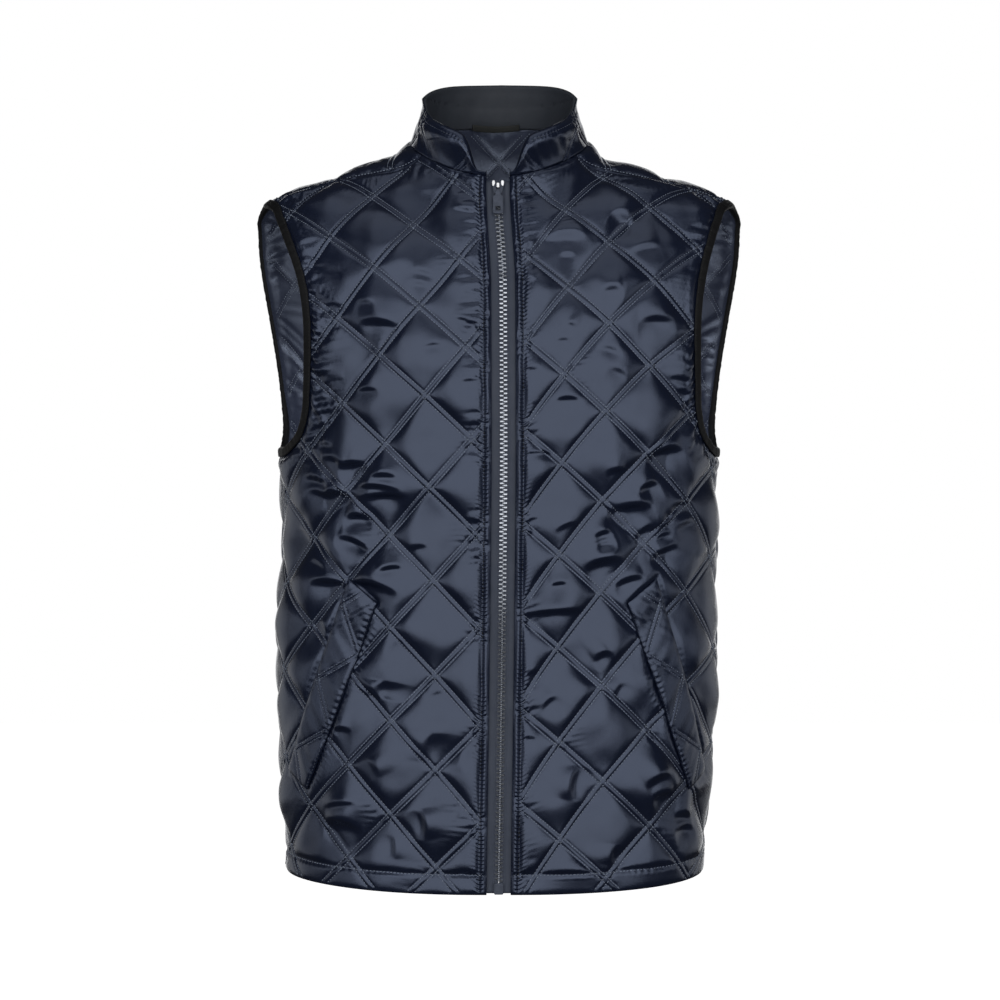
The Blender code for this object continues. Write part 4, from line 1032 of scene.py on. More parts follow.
def panel_object(panel, fine, coarse, material, lining):
    """Closed shell: quilted outer face, lined inner face, common edge."""
    poly, quilt = panel.poly, panel.quilt
    start = (0.0, -0.37) if panel.pattern.back else (0.12, -0.37)
    loop = loop_points(poly, 0.0022)
    inward = loop_inward(loop)
    def filled(fractions, offsets, keep):
        pts = lattice_points(quilt, poly, fractions, start)
        pts = pts[dist_line(pts, np.vstack([poly, poly[:1]])) > keep]
        if offsets is OUTER_ROWS and not panel.pattern.back:
            # a closer mesh beside the zip, for its puckers
            strip = TOPSTITCH + 0.0085
            pts = pts[pts[:, 0] > strip]
            zs = np.arange(poly[:, 1].min(), poly[:, 1].max(), 0.00090)
            xs = np.linspace(EDGE_X + 0.0034, strip - 0.0008, 13)
            more = np.stack(np.meshgrid(xs, zs), -1).reshape(-1, 2)
            more = more[inside(more, poly)]
            pts = np.vstack([pts, more[dist_line(more, np.vstack([poly, poly[:1]])) > keep]])
        if offsets is INNER_ROWS and panel.pattern.back:
            # a closer mesh inside the armholes, for the creases of the lining
            pts = pts[panel.edges(pts)["arm"] > 0.062]
            x, y = np.arange(poly[:, 0].min(), poly[:, 0].max(), 0.0029), np.arange(-0.36, poly[:, 1].max(), 0.0029)
            more = np.stack(np.meshgrid(x, y), -1)
            more[::2, :, 0] += 0.00145
            more = more.reshape(-1, 2)
            more = more[inside(more, poly)]
            more = more[panel.edges(more)["arm"] <= 0.062]
            pts = np.vstack([pts, more[dist_line(more, np.vstack([poly, poly[:1]])) > keep]])
        rows = []
        for o in offsets:
            q = loop + inward * o
            ok = inside(q, poly)
            ok[ok] = dist_line(q[ok], np.vstack([poly, poly[:1]])) > o * 0.93
            rows.append(q[ok])
        return np.vstack([pts] + rows)
    a = filled(fine, OUTER_ROWS, 0.0033)
    b = filled(coarse, INNER_ROWS, 0.0040)
    ta, tb = triangulate(loop, a), triangulate(loop, b)
    m, na = len(loop), len(a)
    tb = np.where(tb >= m, tb + na, tb)
    verts = np.vstack([panel.rim(loop)[0], panel.outer(a)[0], panel.inner(b)[0]])
    flip = panel.sign < 0
    ta, tb = (ta[:, ::-1], tb) if flip else (ta, tb[:, ::-1])
    ob = mesh_object(panel.name + "_cloth", verts, np.vstack([ta, tb]), material, np.vstack([loop, a, b]))
    # the inner face takes the lining's colour, painted lighter to stand in for light inside the hollow
    ob.data.materials.append(lining)
    ob.data.polygons.foreach_set("material_index", np.r_[np.zeros(len(ta), np.int32), np.ones(len(tb), np.int32)])
    return ob

OUTER_ROWS, INNER_ROWS = (0.0002, 0.0008, 0.0016, 0.0026), (0.0008, 0.0024)

# ------------------------------------------------------------- stitches
def grains(name, a, b, n, width, height, material):
    """Short thread lengths from a to b, lying on the face with normal n."""
    along = b - a
    side = np.cross(n, along)
    side /= np.maximum(np.linalg.norm(side, axis=1, keepdims=True), 1e-12)
    near, far = a + along * 0.22, a + along * 0.78
    up, side = n * height, side * (width / 2)
    low = n * -0.0001
    v = np.stack([a + low, near - side + low, near + up, near + side + low,
                  far - side + low, far + up, far + side + low, b + low], 1)
    f = np.array([[0, 2, 1], [0, 3, 2], [0, 1, 3], [1, 2, 5], [1, 5, 4], [2, 3, 6],
                  [2, 6, 5], [3, 1, 4], [3, 4, 6], [7, 4, 5], [7, 5, 6], [7, 6, 4]])
    faces = (np.arange(len(a))[:, None, None] * 8 + f[None]).reshape(-1, 3)
    return mesh_object(name, v.reshape(-1, 3), faces, material)

STITCH, THREAD = 0.0032, 0.0011

def quilting_rows(panel, clear, step=STITCH):
    """Start and end of each quilting stitch, in the flat."""
    pq = panel.quilt.at(panel.poly)
    lo, hi = np.floor(pq.min(0)), np.ceil(pq.max(0))
    ds = step / CELL
    starts, ends = [], []
    for axis in (0, 1):
        run = np.arange(lo[1 - axis], hi[1 - axis], ds)
        for k in np.arange(lo[axis], hi[axis] + 1):
            for row in (-ROW, ROW):
                shift = 0.5 * ds * ((k * 7 + (row > 0)) % 2)
                for out, extra in ((starts, 0.0), (ends, 0.72 * ds)):
                    q = np.empty((len(run), 2))
                    q[:, axis], q[:, 1 - axis] = k + row, run + shift + extra
                    out.append(q)
    s, e = np.vstack(starts), np.vstack(ends)
    start = (0.0, -0.37) if panel.pattern.back else (0.12, -0.37)
    us, ue = panel.quilt.invert(s, start), panel.quilt.invert(e, start)
    ok = inside(us, panel.poly) & inside(ue, panel.poly)
    us, ue = us[ok], ue[ok]
    d = panel.edges(us)
    ok = (d["arm"] > 0.0090) & (np.minimum.reduce(list(d.values())) > clear)
    if not panel.pattern.back:
        ok &= us[:, 0] > TOPSTITCH + 0.0008
        ok &= under_welt(panel.pattern.on_form(us)[0]) < 0.6
    ok &= d["hem"] > 0.0030
    return us[ok], ue[ok]

def stitched(panel, name, us, ue, material, width=THREAD, height=0.0007):
    a, n = panel.outer(us)
    b, _ = panel.outer(ue)
    return grains(name, a, b, n, width, height, material)
# ------------------------------------------------------------- materials
def nodes_of(name):
    m = bpy.data.materials.new(name)
    m.use_nodes = True
    t = m.node_tree
    return m, t, t.nodes["Principled BSDF"]

def add(tree, kind, **values):
    n = tree.nodes.new(kind)
    for k, v in values.items():
        if hasattr(n, k):
            setattr(n, k, v)
        else:
            n.inputs[k.replace("_", " ")].default_value = v
    return n

def noise_node(tree, coords, scale, detail=3.0):
    n = add(tree, "ShaderNodeTexNoise", Scale=scale, Detail=detail)
    tree.links.new(coords, n.inputs["Vector"])
    return n.outputs["Fac"]

def ramp_node(tree, fac, *stops):
    n = tree.nodes.new("ShaderNodeValToRGB")
    for k, (at, colour) in enumerate(stops):
        e = n.color_ramp.elements[k] if k < 2 else n.color_ramp.elements.new(at)
        e.position, e.color = at, (*colour, 1.0)
    tree.links.new(fac, n.inputs["Fac"])
    return n.outputs["Color"]

def range_node(tree, value, low, high, from_low=0.3, from_high=0.7):
    n = tree.nodes.new("ShaderNodeMapRange")
    for k, v in zip(("From Min", "From Max", "To Min", "To Max"), (from_low, from_high, low, high)):
        n.inputs[k].default_value = v
    tree.links.new(value, n.inputs["Value"])
    return n.outputs["Result"]

def maths(tree, op, a, b):
    n = tree.nodes.new("ShaderNodeMath")
    n.operation = op
    for k, x in enumerate((a, b)):
        if isinstance(x, (int, float)):
            n.inputs[k].default_value = x
        else:
            tree.links.new(x, n.inputs[k])
    return n.outputs["Value"]

def weave_node(tree, coords, period):
    """Plain weave: threads over and under in both directions."""
    waves = []
    for axis in ("X", "Y"):
        n = tree.nodes.new("ShaderNodeTexWave")
        n.wave_type, n.bands_direction, n.wave_profile = "BANDS", axis, "SIN"
        n.inputs["Scale"].default_value = 0.314 / period
        n.inputs["Distortion"].default_value = 0.6
        n.inputs["Detail"].default_value = 1.0
        tree.links.new(coords, n.inputs["Vector"])
        waves.append(n.outputs["Fac"])
    return maths(tree, "MULTIPLY", *waves)

def bump_node(tree, height, distance, strength, below=None):
    n = tree.nodes.new("ShaderNodeBump")
    n.inputs["Distance"].default_value = distance
    n.inputs["Strength"].default_value = strength
    tree.links.new(height, n.inputs["Height"])
    if below is not None:
        tree.links.new(below, n.inputs["Normal"])
    return n.outputs["Normal"]

def cloth(name, dark, light, rough, spec, period=0.0006, weave=0.5, crinkle=0.25, mottle=14.0, sheen=0.0, uv=True, tint=(1.0, 1.0, 1.0)):
    """Woven cloth: two close shades, weave and fine crinkles in its bump."""
    m, t, b = nodes_of(name)
    coords = t.nodes.new("ShaderNodeTexCoord")
    flat = coords.outputs["UV"] if uv else coords.outputs["Object"]
    solid = coords.outputs["Object"]
    shade = ramp_node(t, noise_node(t, solid, mottle, 5.0), (0.30, dark), (0.72, light))
    t.links.new(shade, b.inputs["Base Color"])
    t.links.new(range_node(t, noise_node(t, solid, 90.0, 4.0), *rough), b.inputs["Roughness"])
    b.inputs["Specular IOR Level"].default_value = spec
    b.inputs["Specular Tint"].default_value = (*tint, 1.0)
    if sheen:
        b.inputs["Sheen Weight"].default_value = sheen
        b.inputs["Sheen Roughness"].default_value = 0.5
    first = bump_node(t, noise_node(t, solid, 240.0, 4.0), 0.0004, crinkle)
    t.links.new(bump_node(t, weave_node(t, flat, period), 0.00008, weave, first), b.inputs["Normal"])
    return m

def metal(name, dark, light, rough, metallic=1.0, scratch=900.0):
    m, t, b = nodes_of(name)
    solid = t.nodes.new("ShaderNodeTexCoord").outputs["Object"]
    t.links.new(ramp_node(t, noise_node(t, solid, 320.0, 4.0), (0.35, dark), (0.65, light)), b.inputs["Base Color"])
    t.links.new(range_node(t, noise_node(t, solid, 700.0, 3.0), *rough), b.inputs["Roughness"])
    b.inputs["Metallic"].default_value = metallic
    t.links.new(bump_node(t, noise_node(t, solid, scratch, 3.0), 0.00006, 0.2), b.inputs["Normal"])
    return m

NAVY = cloth("navy_nylon_look", (0.0060, 0.0088, 0.0212), (0.0084, 0.0122, 0.0280), (0.18, 0.24), 0.95, weave=0.35, crinkle=0.10, tint=(0.62, 0.73, 1.0))
# the lining is the same navy nylon, painted several times lighter to stand in for light inside the hollow
LINING_PAINTED_LIGHTER = cloth("navy_lining_painted_lighter_look", (0.0300, 0.0360, 0.0590), (0.0420, 0.0495, 0.0790), (0.21, 0.28), 0.95, weave=0.35, crinkle=0.10, tint=(0.66, 0.77, 1.0))
FACING = cloth("dark_facing_look", (0.0240, 0.0285, 0.0380), (0.0320, 0.0380, 0.0495), (0.60, 0.70), 0.40, 0.0008, 0.7, 0.3)
BLACK = cloth("black_binding_look", (0.0040, 0.0042, 0.0048), (0.0070, 0.0073, 0.0080), (0.54, 0.66), 0.20, 0.0009, 0.8, 0.2)
TAPE = cloth("navy_zip_tape_look", (0.0300, 0.0395, 0.0650), (0.0420, 0.0535, 0.0830), (0.52, 0.64), 0.45, 0.0012, 1.0, 0.1)
LOOP = cloth("dark_loop_look", (0.0090, 0.0100, 0.0095), (0.0140, 0.0150, 0.0140), (0.60, 0.72), 0.40, 0.0011, 1.0, 0.1)
THREADS = cloth("navy_thread_look", (0.155, 0.185, 0.245), (0.230, 0.268, 0.335), (0.55, 0.68), 0.50, 0.0005, 0.5, 0.1, 300.0, uv=False)
SEAM_THREADS = cloth("seam_thread_look", (0.045, 0.054, 0.078), (0.070, 0.082, 0.112), (0.55, 0.68), 0.45, 0.0005, 0.5, 0.1, 300.0, uv=False)
DARK_THREADS = cloth("dark_thread_look", (0.010, 0.011, 0.014), (0.018, 0.019, 0.023), (0.55, 0.68), 0.45, 0.0005, 0.5, 0.1, 300.0, uv=False)
TEETH = metal("grey_zip_teeth_look", (0.42, 0.45, 0.51), (0.55, 0.58, 0.64), (0.17, 0.24), 0.85)
BRIGHT = metal("bright_slider_look", (0.62, 0.63, 0.65), (0.74, 0.75, 0.77), (0.16, 0.26))
PULL = metal("dark_pull_look", (0.034, 0.044, 0.070), (0.048, 0.060, 0.092), (0.36, 0.46), 0.25)

def finish_piece(ob, body, slot, *nodes):
    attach(ob, body)
    if nodes:
        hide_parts(*nodes)
    return ob

# ------------------------------------------------- fronts and back, hung
FRONT, BACK = Pattern(False), Pattern(True)
FINE, MEDIUM, COARSE = (cell_fractions(n) for n in (27, 14, 7))
sheets = []
for name, pattern, sign, seed, fine, inner in (("front_right", FRONT, -1, 5, FINE, COARSE),
                                               ("front_left", FRONT, 1, 8, FINE, COARSE),
                                               ("back", BACK, -1, 11, MEDIUM, cell_fractions(5))):
    panel = Panel(name, pattern, sign, seed)
    if pattern.back:
        panel.creases = (scattered_creases(21, 34, (-0.19, 0.19), (-0.52, -0.27))
                         + scattered_creases(22, 26, (-0.19, 0.19), (-0.27, -0.05))
                         + scattered_creases(23, 16, (-0.19, 0.19), (-0.70, -0.52)))
    ob = finish_piece(panel_object(panel, fine, inner, NAVY, LINING_PAINTED_LIGHTER), "vest", "navy_nylon", name)
    us, ue = quilting_rows(panel, 0.0022)
    rows = finish_piece(stitched(panel, name + "_quilting", us, ue, THREADS), "vest", "navy_nylon")
    # single rows that hold the turned edges
    v = np.arange(-0.718, -0.046, 0.0036)
    far = np.abs(panel.poly[:, 0]).max()
    u = np.arange(-far if pattern.back else EDGE_X + 0.002, far, 0.0036)
    hem_v = np.interp(np.abs(u), pattern.lines["hem"][:, 0], pattern.lines["hem"][:, 1])
    lines = [("_hem_stitches", np.stack([u, hem_v + HEM_STITCH], 1), (0.0026, 0.0), THREADS)]
    if not pattern.back:
        lines.append(("_topstitch", np.stack([np.full(len(v), TOPSTITCH), v], 1), (0.0, 0.0026), DARK_THREADS))
    for ending, a, d, thread in lines:
        b = a + np.array(d)
        ok = inside(a, panel.poly) & inside(b, panel.poly)
        finish_piece(stitched(panel, name + ending, a[ok], b[ok], thread), "vest", "navy_nylon")
    if pattern.back:
        # the quilting seen on the lining, through the neck and armholes
        us, ue = quilting_rows(panel, 0.0050)
        high = us[:, 1] > -0.42
        a, n = panel.inner(us[high])
        finish_piece(grains("back_inner_quilting", a, panel.inner(ue[high])[0], -n, THREAD, 0.0006, THREADS), "vest", "navy_nylon")
    w = panel.poly[:, 0].max() - panel.poly[:, 0].min()
    sheets.append(panel)

# ---------------------------------------------------------------- collar
def ring_tube(name, sections, material, uv=None, capped=True):
    """Closed skin over a row of equal rings; its two ends are capped."""
    s = np.asarray(sections)
    n, m = s.shape[:2]
    i, k = np.meshgrid(np.arange(n - 1 if capped else n), np.arange(m), indexing="ij")
    a, b = (i * m + k).ravel(), (i * m + (k + 1) % m).ravel()
    c, d = (((i + 1) % n) * m + (k + 1) % m).ravel(), (((i + 1) % n) * m + k).ravel()
    tris = [np.stack([a, b, c], 1), np.stack([a, c, d], 1)]
    if capped:
        for base, turn in ((0, 1), ((n - 1) * m, -1)):
            # strips across the ring, from its two sides
            lo, hi = 1, m - 1
            cap = [(0, 1, m - 1)]
            while hi - lo > 1:
                cap.append((lo, lo + 1, hi))
                if hi - lo > 2:
                    cap.append((lo + 1, hi - 1, hi))
                lo, hi = lo + 1, hi - 1
            cap = np.array(cap) + base
            tris.append(cap[:, ::-1] if turn > 0 else cap)
    faces = np.vstack(tris)
    v = s.reshape(-1, 3)
    q = v[faces]
    volume = (q[:, 0] * np.cross(q[:, 1], q[:, 2])).sum()
    if volume < 0:
        faces = faces[:, ::-1]
    return mesh_object(name, v, faces, material, uv)

def collar_base(phi, t):
    """Form points of the collar, t from its seam to its top edge."""
    p, h = collar_points(phi, t)
    n = normals(p)
    return settle(p, n), n, h

COLLAR_STEPS = 400
phi = np.linspace(PHI_EDGE, 2 * math.pi - PHI_EDGE, COLLAR_STEPS)
seam_line = settle(neck_seam(phi), normals(neck_seam(phi)))
along_seam = np.r_[0, np.cumsum(np.linalg.norm(np.diff(seam_line, axis=0), axis=1))]
along_seam -= along_seam[-1] / 2

def collar_quilt(u, v):
    return np.stack([11.6 * u + 11.4 * v - 0.30, 11.6 * u - 11.4 * v + 0.30], -1)

def wobble(x, seed, *periods):
    r = np.random.default_rng(seed)
    return sum(np.sin(2 * math.pi * x / p + r.uniform(0, 6.3)) for p in periods) / len(periods)

def collar_outer_height(u, v, h, t):
    pq = collar_quilt(u, v)
    w = to_line(pq)
    face = 0.0022 * dome(pq) ** 0.5 - 0.0004 + 0.0006 * np.clip(1 - (w / ROW) ** 2, 0, 1)
    face = face - 0.0004 * np.exp(-((w - ROW) / 0.012) ** 2)
    face = face + 0.0007 * wobble(u + 0.6 * v, 3, 0.021, 0.034, 0.013) * np.sin(math.pi * np.clip(t, 0, 1))
    # rolls out over its seam, and is drawn in at the stitches near its edge
    front = ease((np.abs(u) - 0.13) / 0.06)
    tt = np.clip(t, 0, 1)
    face = face + 0.0062 * front * np.sin(math.pi * tt ** 2.0) + (1 - front) * (0.0010 * np.sin(math.pi * tt ** 0.66) - 0.0008) - 0.0010
    edge = h * (1 - t)
    tick = np.clip(np.cos(2 * math.pi * u / 0.0046 + 2 * np.sin(u * 57)), -0.3, 1)
    face = face - (0.0006 + 0.0005 * tick) * np.exp(-((edge - 0.0058) / 0.0024) ** 2) * np.clip(h / 0.02, 0, 1)
    return face * np.clip(h / 0.012, 0.3, 1)

T_OUT = np.r_[0.0, 0.02, 0.05, np.linspace(0.09, 0.90, 25), 0.94, 0.965, 0.985, 1.0]
T_IN = np.linspace(1.0, 0.0, 8)
rings, flat_uv = [], []
for t in T_OUT:
    p, n, h = collar_base(phi, t)
    v = h * t
    f = collar_outer_height(along_seam, v, h, t)
    top = np.clip((h * (1 - t)) / 0.0022, 0, 1)
    low = np.clip((h * t) / 0.0014, 0, 1)
    f = -COLLAR_WALL / 2 + (f + COLLAR_WALL / 2) * np.sqrt(np.clip(1 - (1 - top) ** 2, 0, 1)) * np.sqrt(np.clip(1 - (1 - low) ** 2, 0, 1))
    rings.append(p + n * f[:, None])
    flat_uv.append(np.stack([along_seam, v], 1))
for t in T_IN[1:-1]:
    p, n, h = collar_base(phi, t)
    rings.append(p - n * (COLLAR_WALL - 0.0002))
    flat_uv.append(np.stack([along_seam, h * t], 1))
collar = ring_tube("collar_outer_cloth", np.stack(rings, 1), NAVY, np.stack(flat_uv, 1).reshape(-1, 2))
finish_piece(collar, "vest", "navy_nylon", "collar_outer")
tall = collar_points(phi, 0.0)[1]

T_FACE = np.r_[1.0, 0.985, 0.96, np.linspace(0.92, 0.04, 16), 0.0]
rings, flat_uv = [], []
for t in T_FACE:
    p, n, h = collar_base(phi, t)
    top = np.clip((h * (1 - t)) / 0.0020, 0, 1)
    f = -0.0046 - 0.0004 * wobble(along_seam + 0.5 * h * t, 9, 0.043, 0.027, 0.071) * np.sin(math.pi * t)
    edge = h * (1 - t)
    f = f + 0.0006 * np.exp(-((edge - 0.0070) / 0.0016) ** 2)
    f = -COLLAR_WALL * 0.6 + (f + COLLAR_WALL * 0.6) * np.sqrt(np.clip(1 - (1 - top) ** 2, 0, 1))
    rings.append(p + n * f[:, None])
    flat_uv.append(np.stack([along_seam, h * t], 1))
for t in T_FACE[-2:0:-3]:
    p, n, h = collar_base(phi, t)
    rings.append(p - n * (COLLAR_WALL + 0.0003))
    flat_uv.append(np.stack([along_seam, h * t], 1))
facing = ring_tube("collar_facing_cloth", np.stack(rings, 1), FACING, np.stack(flat_uv, 1).reshape(-1, 2))
finish_piece(facing, "vest", "dark_facing", "collar_facing")

def collar_stitches():
    """Twin quilting rows and the row below the top edge."""
    hs, half = tall, along_seam[-1]
    a, b = [], []
    ds = STITCH / CELL
    for slope in (1, -1):
        for k in np.arange(-8, 9):
            for row in (-ROW, ROW):
                v = np.arange(0.001, 0.044, STITCH * 0.70)
                c = k + row + (0.30 if slope > 0 else -0.30)
                for out, more in ((a, 0.0), (b, STITCH * 0.5)):
                    vv = v + more
                    out.append(np.stack([(c - slope * 11.4 * vv) / 11.6, vv], 1))
    u = np.arange(-half + 0.004, half - 0.004, 0.0036)
    h = np.interp(u, along_seam, hs)
    a.append(np.stack([u, h - 0.0058], 1))
    b.append(np.stack([u + 0.0026, np.interp(u + 0.0026, along_seam, hs) - 0.0058], 1))
    a, b = np.vstack(a), np.vstack(b)
    ok = (np.abs(a[:, 0]) < half - 0.003) & (np.abs(b[:, 0]) < half - 0.003)
    for q in (a, b):
        ok &= (q[:, 1] > 0.0015) & (q[:, 1] < np.interp(q[:, 0], along_seam, hs) - 0.0035)
    a, b = a[ok], b[ok]
    out = []
    for q in (a, b):
        f = np.interp(q[:, 0], along_seam, phi)
        h = np.interp(q[:, 0], along_seam, hs)
        p, n, _ = collar_base(f, q[:, 1] / h)
        out.append(p + n * collar_outer_height(q[:, 0], q[:, 1], h, q[:, 1] / h)[:, None])
    return grains("collar_quilting", out[0], out[1], n, THREAD, 0.00042, SEAM_THREADS)

collar_rows = finish_piece(collar_stitches(), "vest", "navy_nylon")

# hanger loop: a narrow tape that bows a little off the facing
span_phi = np.linspace(math.radians(164.0), math.radians(202.0), 60)
rings = []
for k in range(16):
    ang = 2 * math.pi * k / 16
    across = 0.0029 * math.copysign(abs(math.cos(ang)) ** 0.6, math.cos(ang))
    thick = 0.0008 * math.copysign(abs(math.sin(ang)) ** 0.8, math.sin(ang))
    z = ring_z(span_phi) + 0.0020 - 0.0016 * np.sin(np.linspace(0, math.pi, 60)) + across
    p = round_neck(span_phi, z)
    n = normals(p)
    bow = -0.0064 - 0.0010 * np.sin(np.linspace(0, math.pi, 60)) - thick
    rings.append(settle(p, n) + n * bow[:, None])
loop_uv = np.stack([np.repeat(np.linspace(0, 0.06, 60), 16), np.tile(np.linspace(0, 0.012, 16), 60)], 1)
loop = ring_tube("hanger_loop_tape", np.stack(rings, 1), LOOP, loop_uv)
finish_piece(loop, "vest", "black_binding", "hanger_loop")
# ------------------------------------------------------ armhole bindings
# section of the folded tape: distance in from the armhole edge and height
# over the form's face, in mm; outside round the edge, then back inside
BINDING_SECTION = [(7.7, 0.25), (7.75, 0.75), (7.4, 1.15), (6.4, 1.32), (4.8, 1.42), (3.0, 1.46), (1.4, 1.42), (0.1, 1.15),
                   (-0.9, 0.55), (-1.45, -0.5), (-1.6, -1.75), (-1.45, -3.1), (-0.9, -4.1), (0.1, -4.7), (1.4, -4.95),
                   (3.0, -5.0), (4.8, -5.0), (6.4, -4.95), (7.4, -4.8), (7.75, -4.5), (7.7, -4.1),
                   (5.2, -4.1), (2.0, -4.05), (0.2, -3.9), (-0.45, -3.0), (-0.5, -1.75), (-0.45, -0.5), (0.2, 0.3), (2.0, 0.42), (5.2, 0.45)]

def armhole_loop():
    front, back = armhole(False, 230), armhole(True, 210)
    e = np.vstack([front, back[-2:0:-1]])
    return e

def smooth_loop(a, reach):
    w = np.hanning(2 * reach + 3)[1:-1]
    w /= w.sum()
    out = 0
    for k in range(-reach, reach + 1):
        out = out + np.roll(a, k, 0) * w[k + reach]
    return out

def armhole_binding(name, side, seed):
    e = armhole_loop()
    n = normals(e)
    tangent = np.roll(e, -1, 0) - np.roll(e, 1, 0)
    w = np.cross(n, tangent)
    w /= np.linalg.norm(w, axis=1, keepdims=True)
    if ((e - e.mean(0)) * w).sum() < 0:
        w = -w
    w = smooth_loop(w, 9)
    w -= n * (w * n).sum(1, keepdims=True)
    w /= np.linalg.norm(w, axis=1, keepdims=True)
    s = np.r_[0, np.cumsum(np.linalg.norm(np.diff(e, axis=0), axis=1))]
    total = s[-1] + np.linalg.norm(e[0] - e[-1])
    r = np.random.default_rng(seed)
    def ripple(*counts):
        return sum(np.sin(2 * math.pi * c * s / total + r.uniform(0, 6.3)) for c in counts) / len(counts)
    wide, lift = 1 + 0.05 * ripple(9, 23, 41), 1 + 0.22 * ripple(31, 57, 83)
    pucker = ripple(61, 97, 131)
    c = onto(e + w * BINDING_WIDTH)
    nc = normals(c)
    mirror = np.array([float(side), 1.0, 1.0])
    e, n, c, nc = e * mirror, n * mirror, c * mirror, nc * mirror
    e, c = settle(e, n), settle(c, nc)
    out = e - c
    out -= n * (out * n).sum(1, keepdims=True)
    out /= np.linalg.norm(out, axis=1, keepdims=True)
    # the inner fold of the back edge is rolled out of sight, but for its foot
    rear = ease((e[:, 1] + 0.005) / 0.03)
    short = 1 - (0.92 if side < 0 else 0.60) * rear * ease((e[:, 2] + 0.290) / 0.05)
    rings = []
    for d, h in BINDING_SECTION:
        reach = max(d, 0) * 0.001 * (short if h < -3.5 else np.ones(len(e)))
        f = (reach / BINDING_WIDTH)[:, None]
        base = c * f + e * (1 - f) + out * (max(-d, 0) * 0.001 * (1 - 0.35 * rear))[:, None]
        if d > 3:
            base = base - out * ((wide - 1) * reach)[:, None]
        m = n * (1 - f) + nc * f
        height = h * 0.001 * (lift if h > 0.5 else (1 - 0.34 * rear if h < 0 else 1.0))
        if h > 0.9:
            height = height + 0.00022 * pucker
        rings.append(base + m * np.broadcast_to(height, len(e))[:, None])
    uv = np.stack([np.repeat(s, len(BINDING_SECTION)), np.tile(np.linspace(0, 0.03, len(BINDING_SECTION)), len(s))], 1)
    ob = ring_tube(name + "_tape", np.stack(rings, 1), BLACK, uv, capped=False)
    finish_piece(ob, "vest", "black_binding", name)
    # stitches near the tape's lip
    f = 0.0062 / BINDING_WIDTH
    at = np.arange(0, total - 0.003, 0.0034)
    def on_tape(x):
        q = c * f + e * (1 - f) + (n * (1 - f) + nc * f) * (0.00125 * lift + 0.00022 * pucker)[:, None] - out * ((wide - 1) * 0.0062)[:, None]
        return np.stack([np.interp(x, s, q[:, k]) for k in range(3)], 1)
    up = np.stack([np.interp(at, s, n[:, k]) for k in range(3)], 1)
    rows = grains(name + "_stitches", on_tape(at), on_tape(at + 0.0024), up, 0.0006, 0.0003, DARK_THREADS)
    finish_piece(rows, "vest", "black_binding")
    return ob, rows, total

bindings = [armhole_binding("armhole_binding_left", 1, 31), armhole_binding("armhole_binding_right", -1, 32)]

# ------------------------------------------------------------------ welts
WELT_UNDER = -0.0002        # the underside, over the form's face

def welt_surface(a, b):
    """Form points of a welt: a down its seam, b out across, in metres."""
    k = np.clip(a / WELT_LONG, 0, 1) * (len(WELT_P) - 1)
    s = bilinear(WELT_P[:, None].repeat(2, 1), k, 0 * k)
    c = bilinear(WELT_ACROSS[:, None].repeat(2, 1), k, 0 * k)
    p = onto(s + c * b[:, None], steps=5)
    return p, normals(p)

def welt_quilt(a, b):
    x, y = (a - 0.065) / 0.079, 1.2 * b / 0.079
    return np.stack([x - y, x + y], -1)

def welt_height(a, b, seed):
    pq = welt_quilt(a, b)
    w = to_line(pq)
    h = 0.0012 + 0.0015 * dome(pq) ** 0.6 + 0.0006 * np.clip(1 - (w / ROW) ** 2, 0, 1) - 0.0004 * np.exp(-((w - ROW) / 0.012) ** 2)
    tick = np.clip(np.cos(2 * math.pi * a / 0.0056 + 2.3 * np.sin(a * 83 + seed)), -0.4, 1)
    uneven = np.clip(0.5 + 0.5 * np.sin(a * 61 + seed) + 0.3 * np.sin(a * 143), 0, 1)
    h = h - 0.0007 * uneven * tick * np.exp(-((b - 0.002) / 0.0045) ** 2)
    h = h + 0.0005 * wobble(a + 0.7 * b, seed, 0.017, 0.029, 0.047)
    h = h + 0.0006 * wobble(a - 1.1 * b, seed + 5, 0.011, 0.016, 0.023) * np.exp(-(a / 0.05) ** 2)
    top = a - WELT_SLANT * (1 - b / WELT_WIDTH)
    for e, r in ((b, 0.0050), (WELT_WIDTH - b, 0.0070), (top, 0.0200), (WELT_LONG - a, 0.0080)):
        t = np.clip(e / r, 0, 1)
        h = WELT_UNDER + (h - WELT_UNDER) * np.sqrt(np.clip(1 - (1 - t) ** 2, 0, 1))
    return h

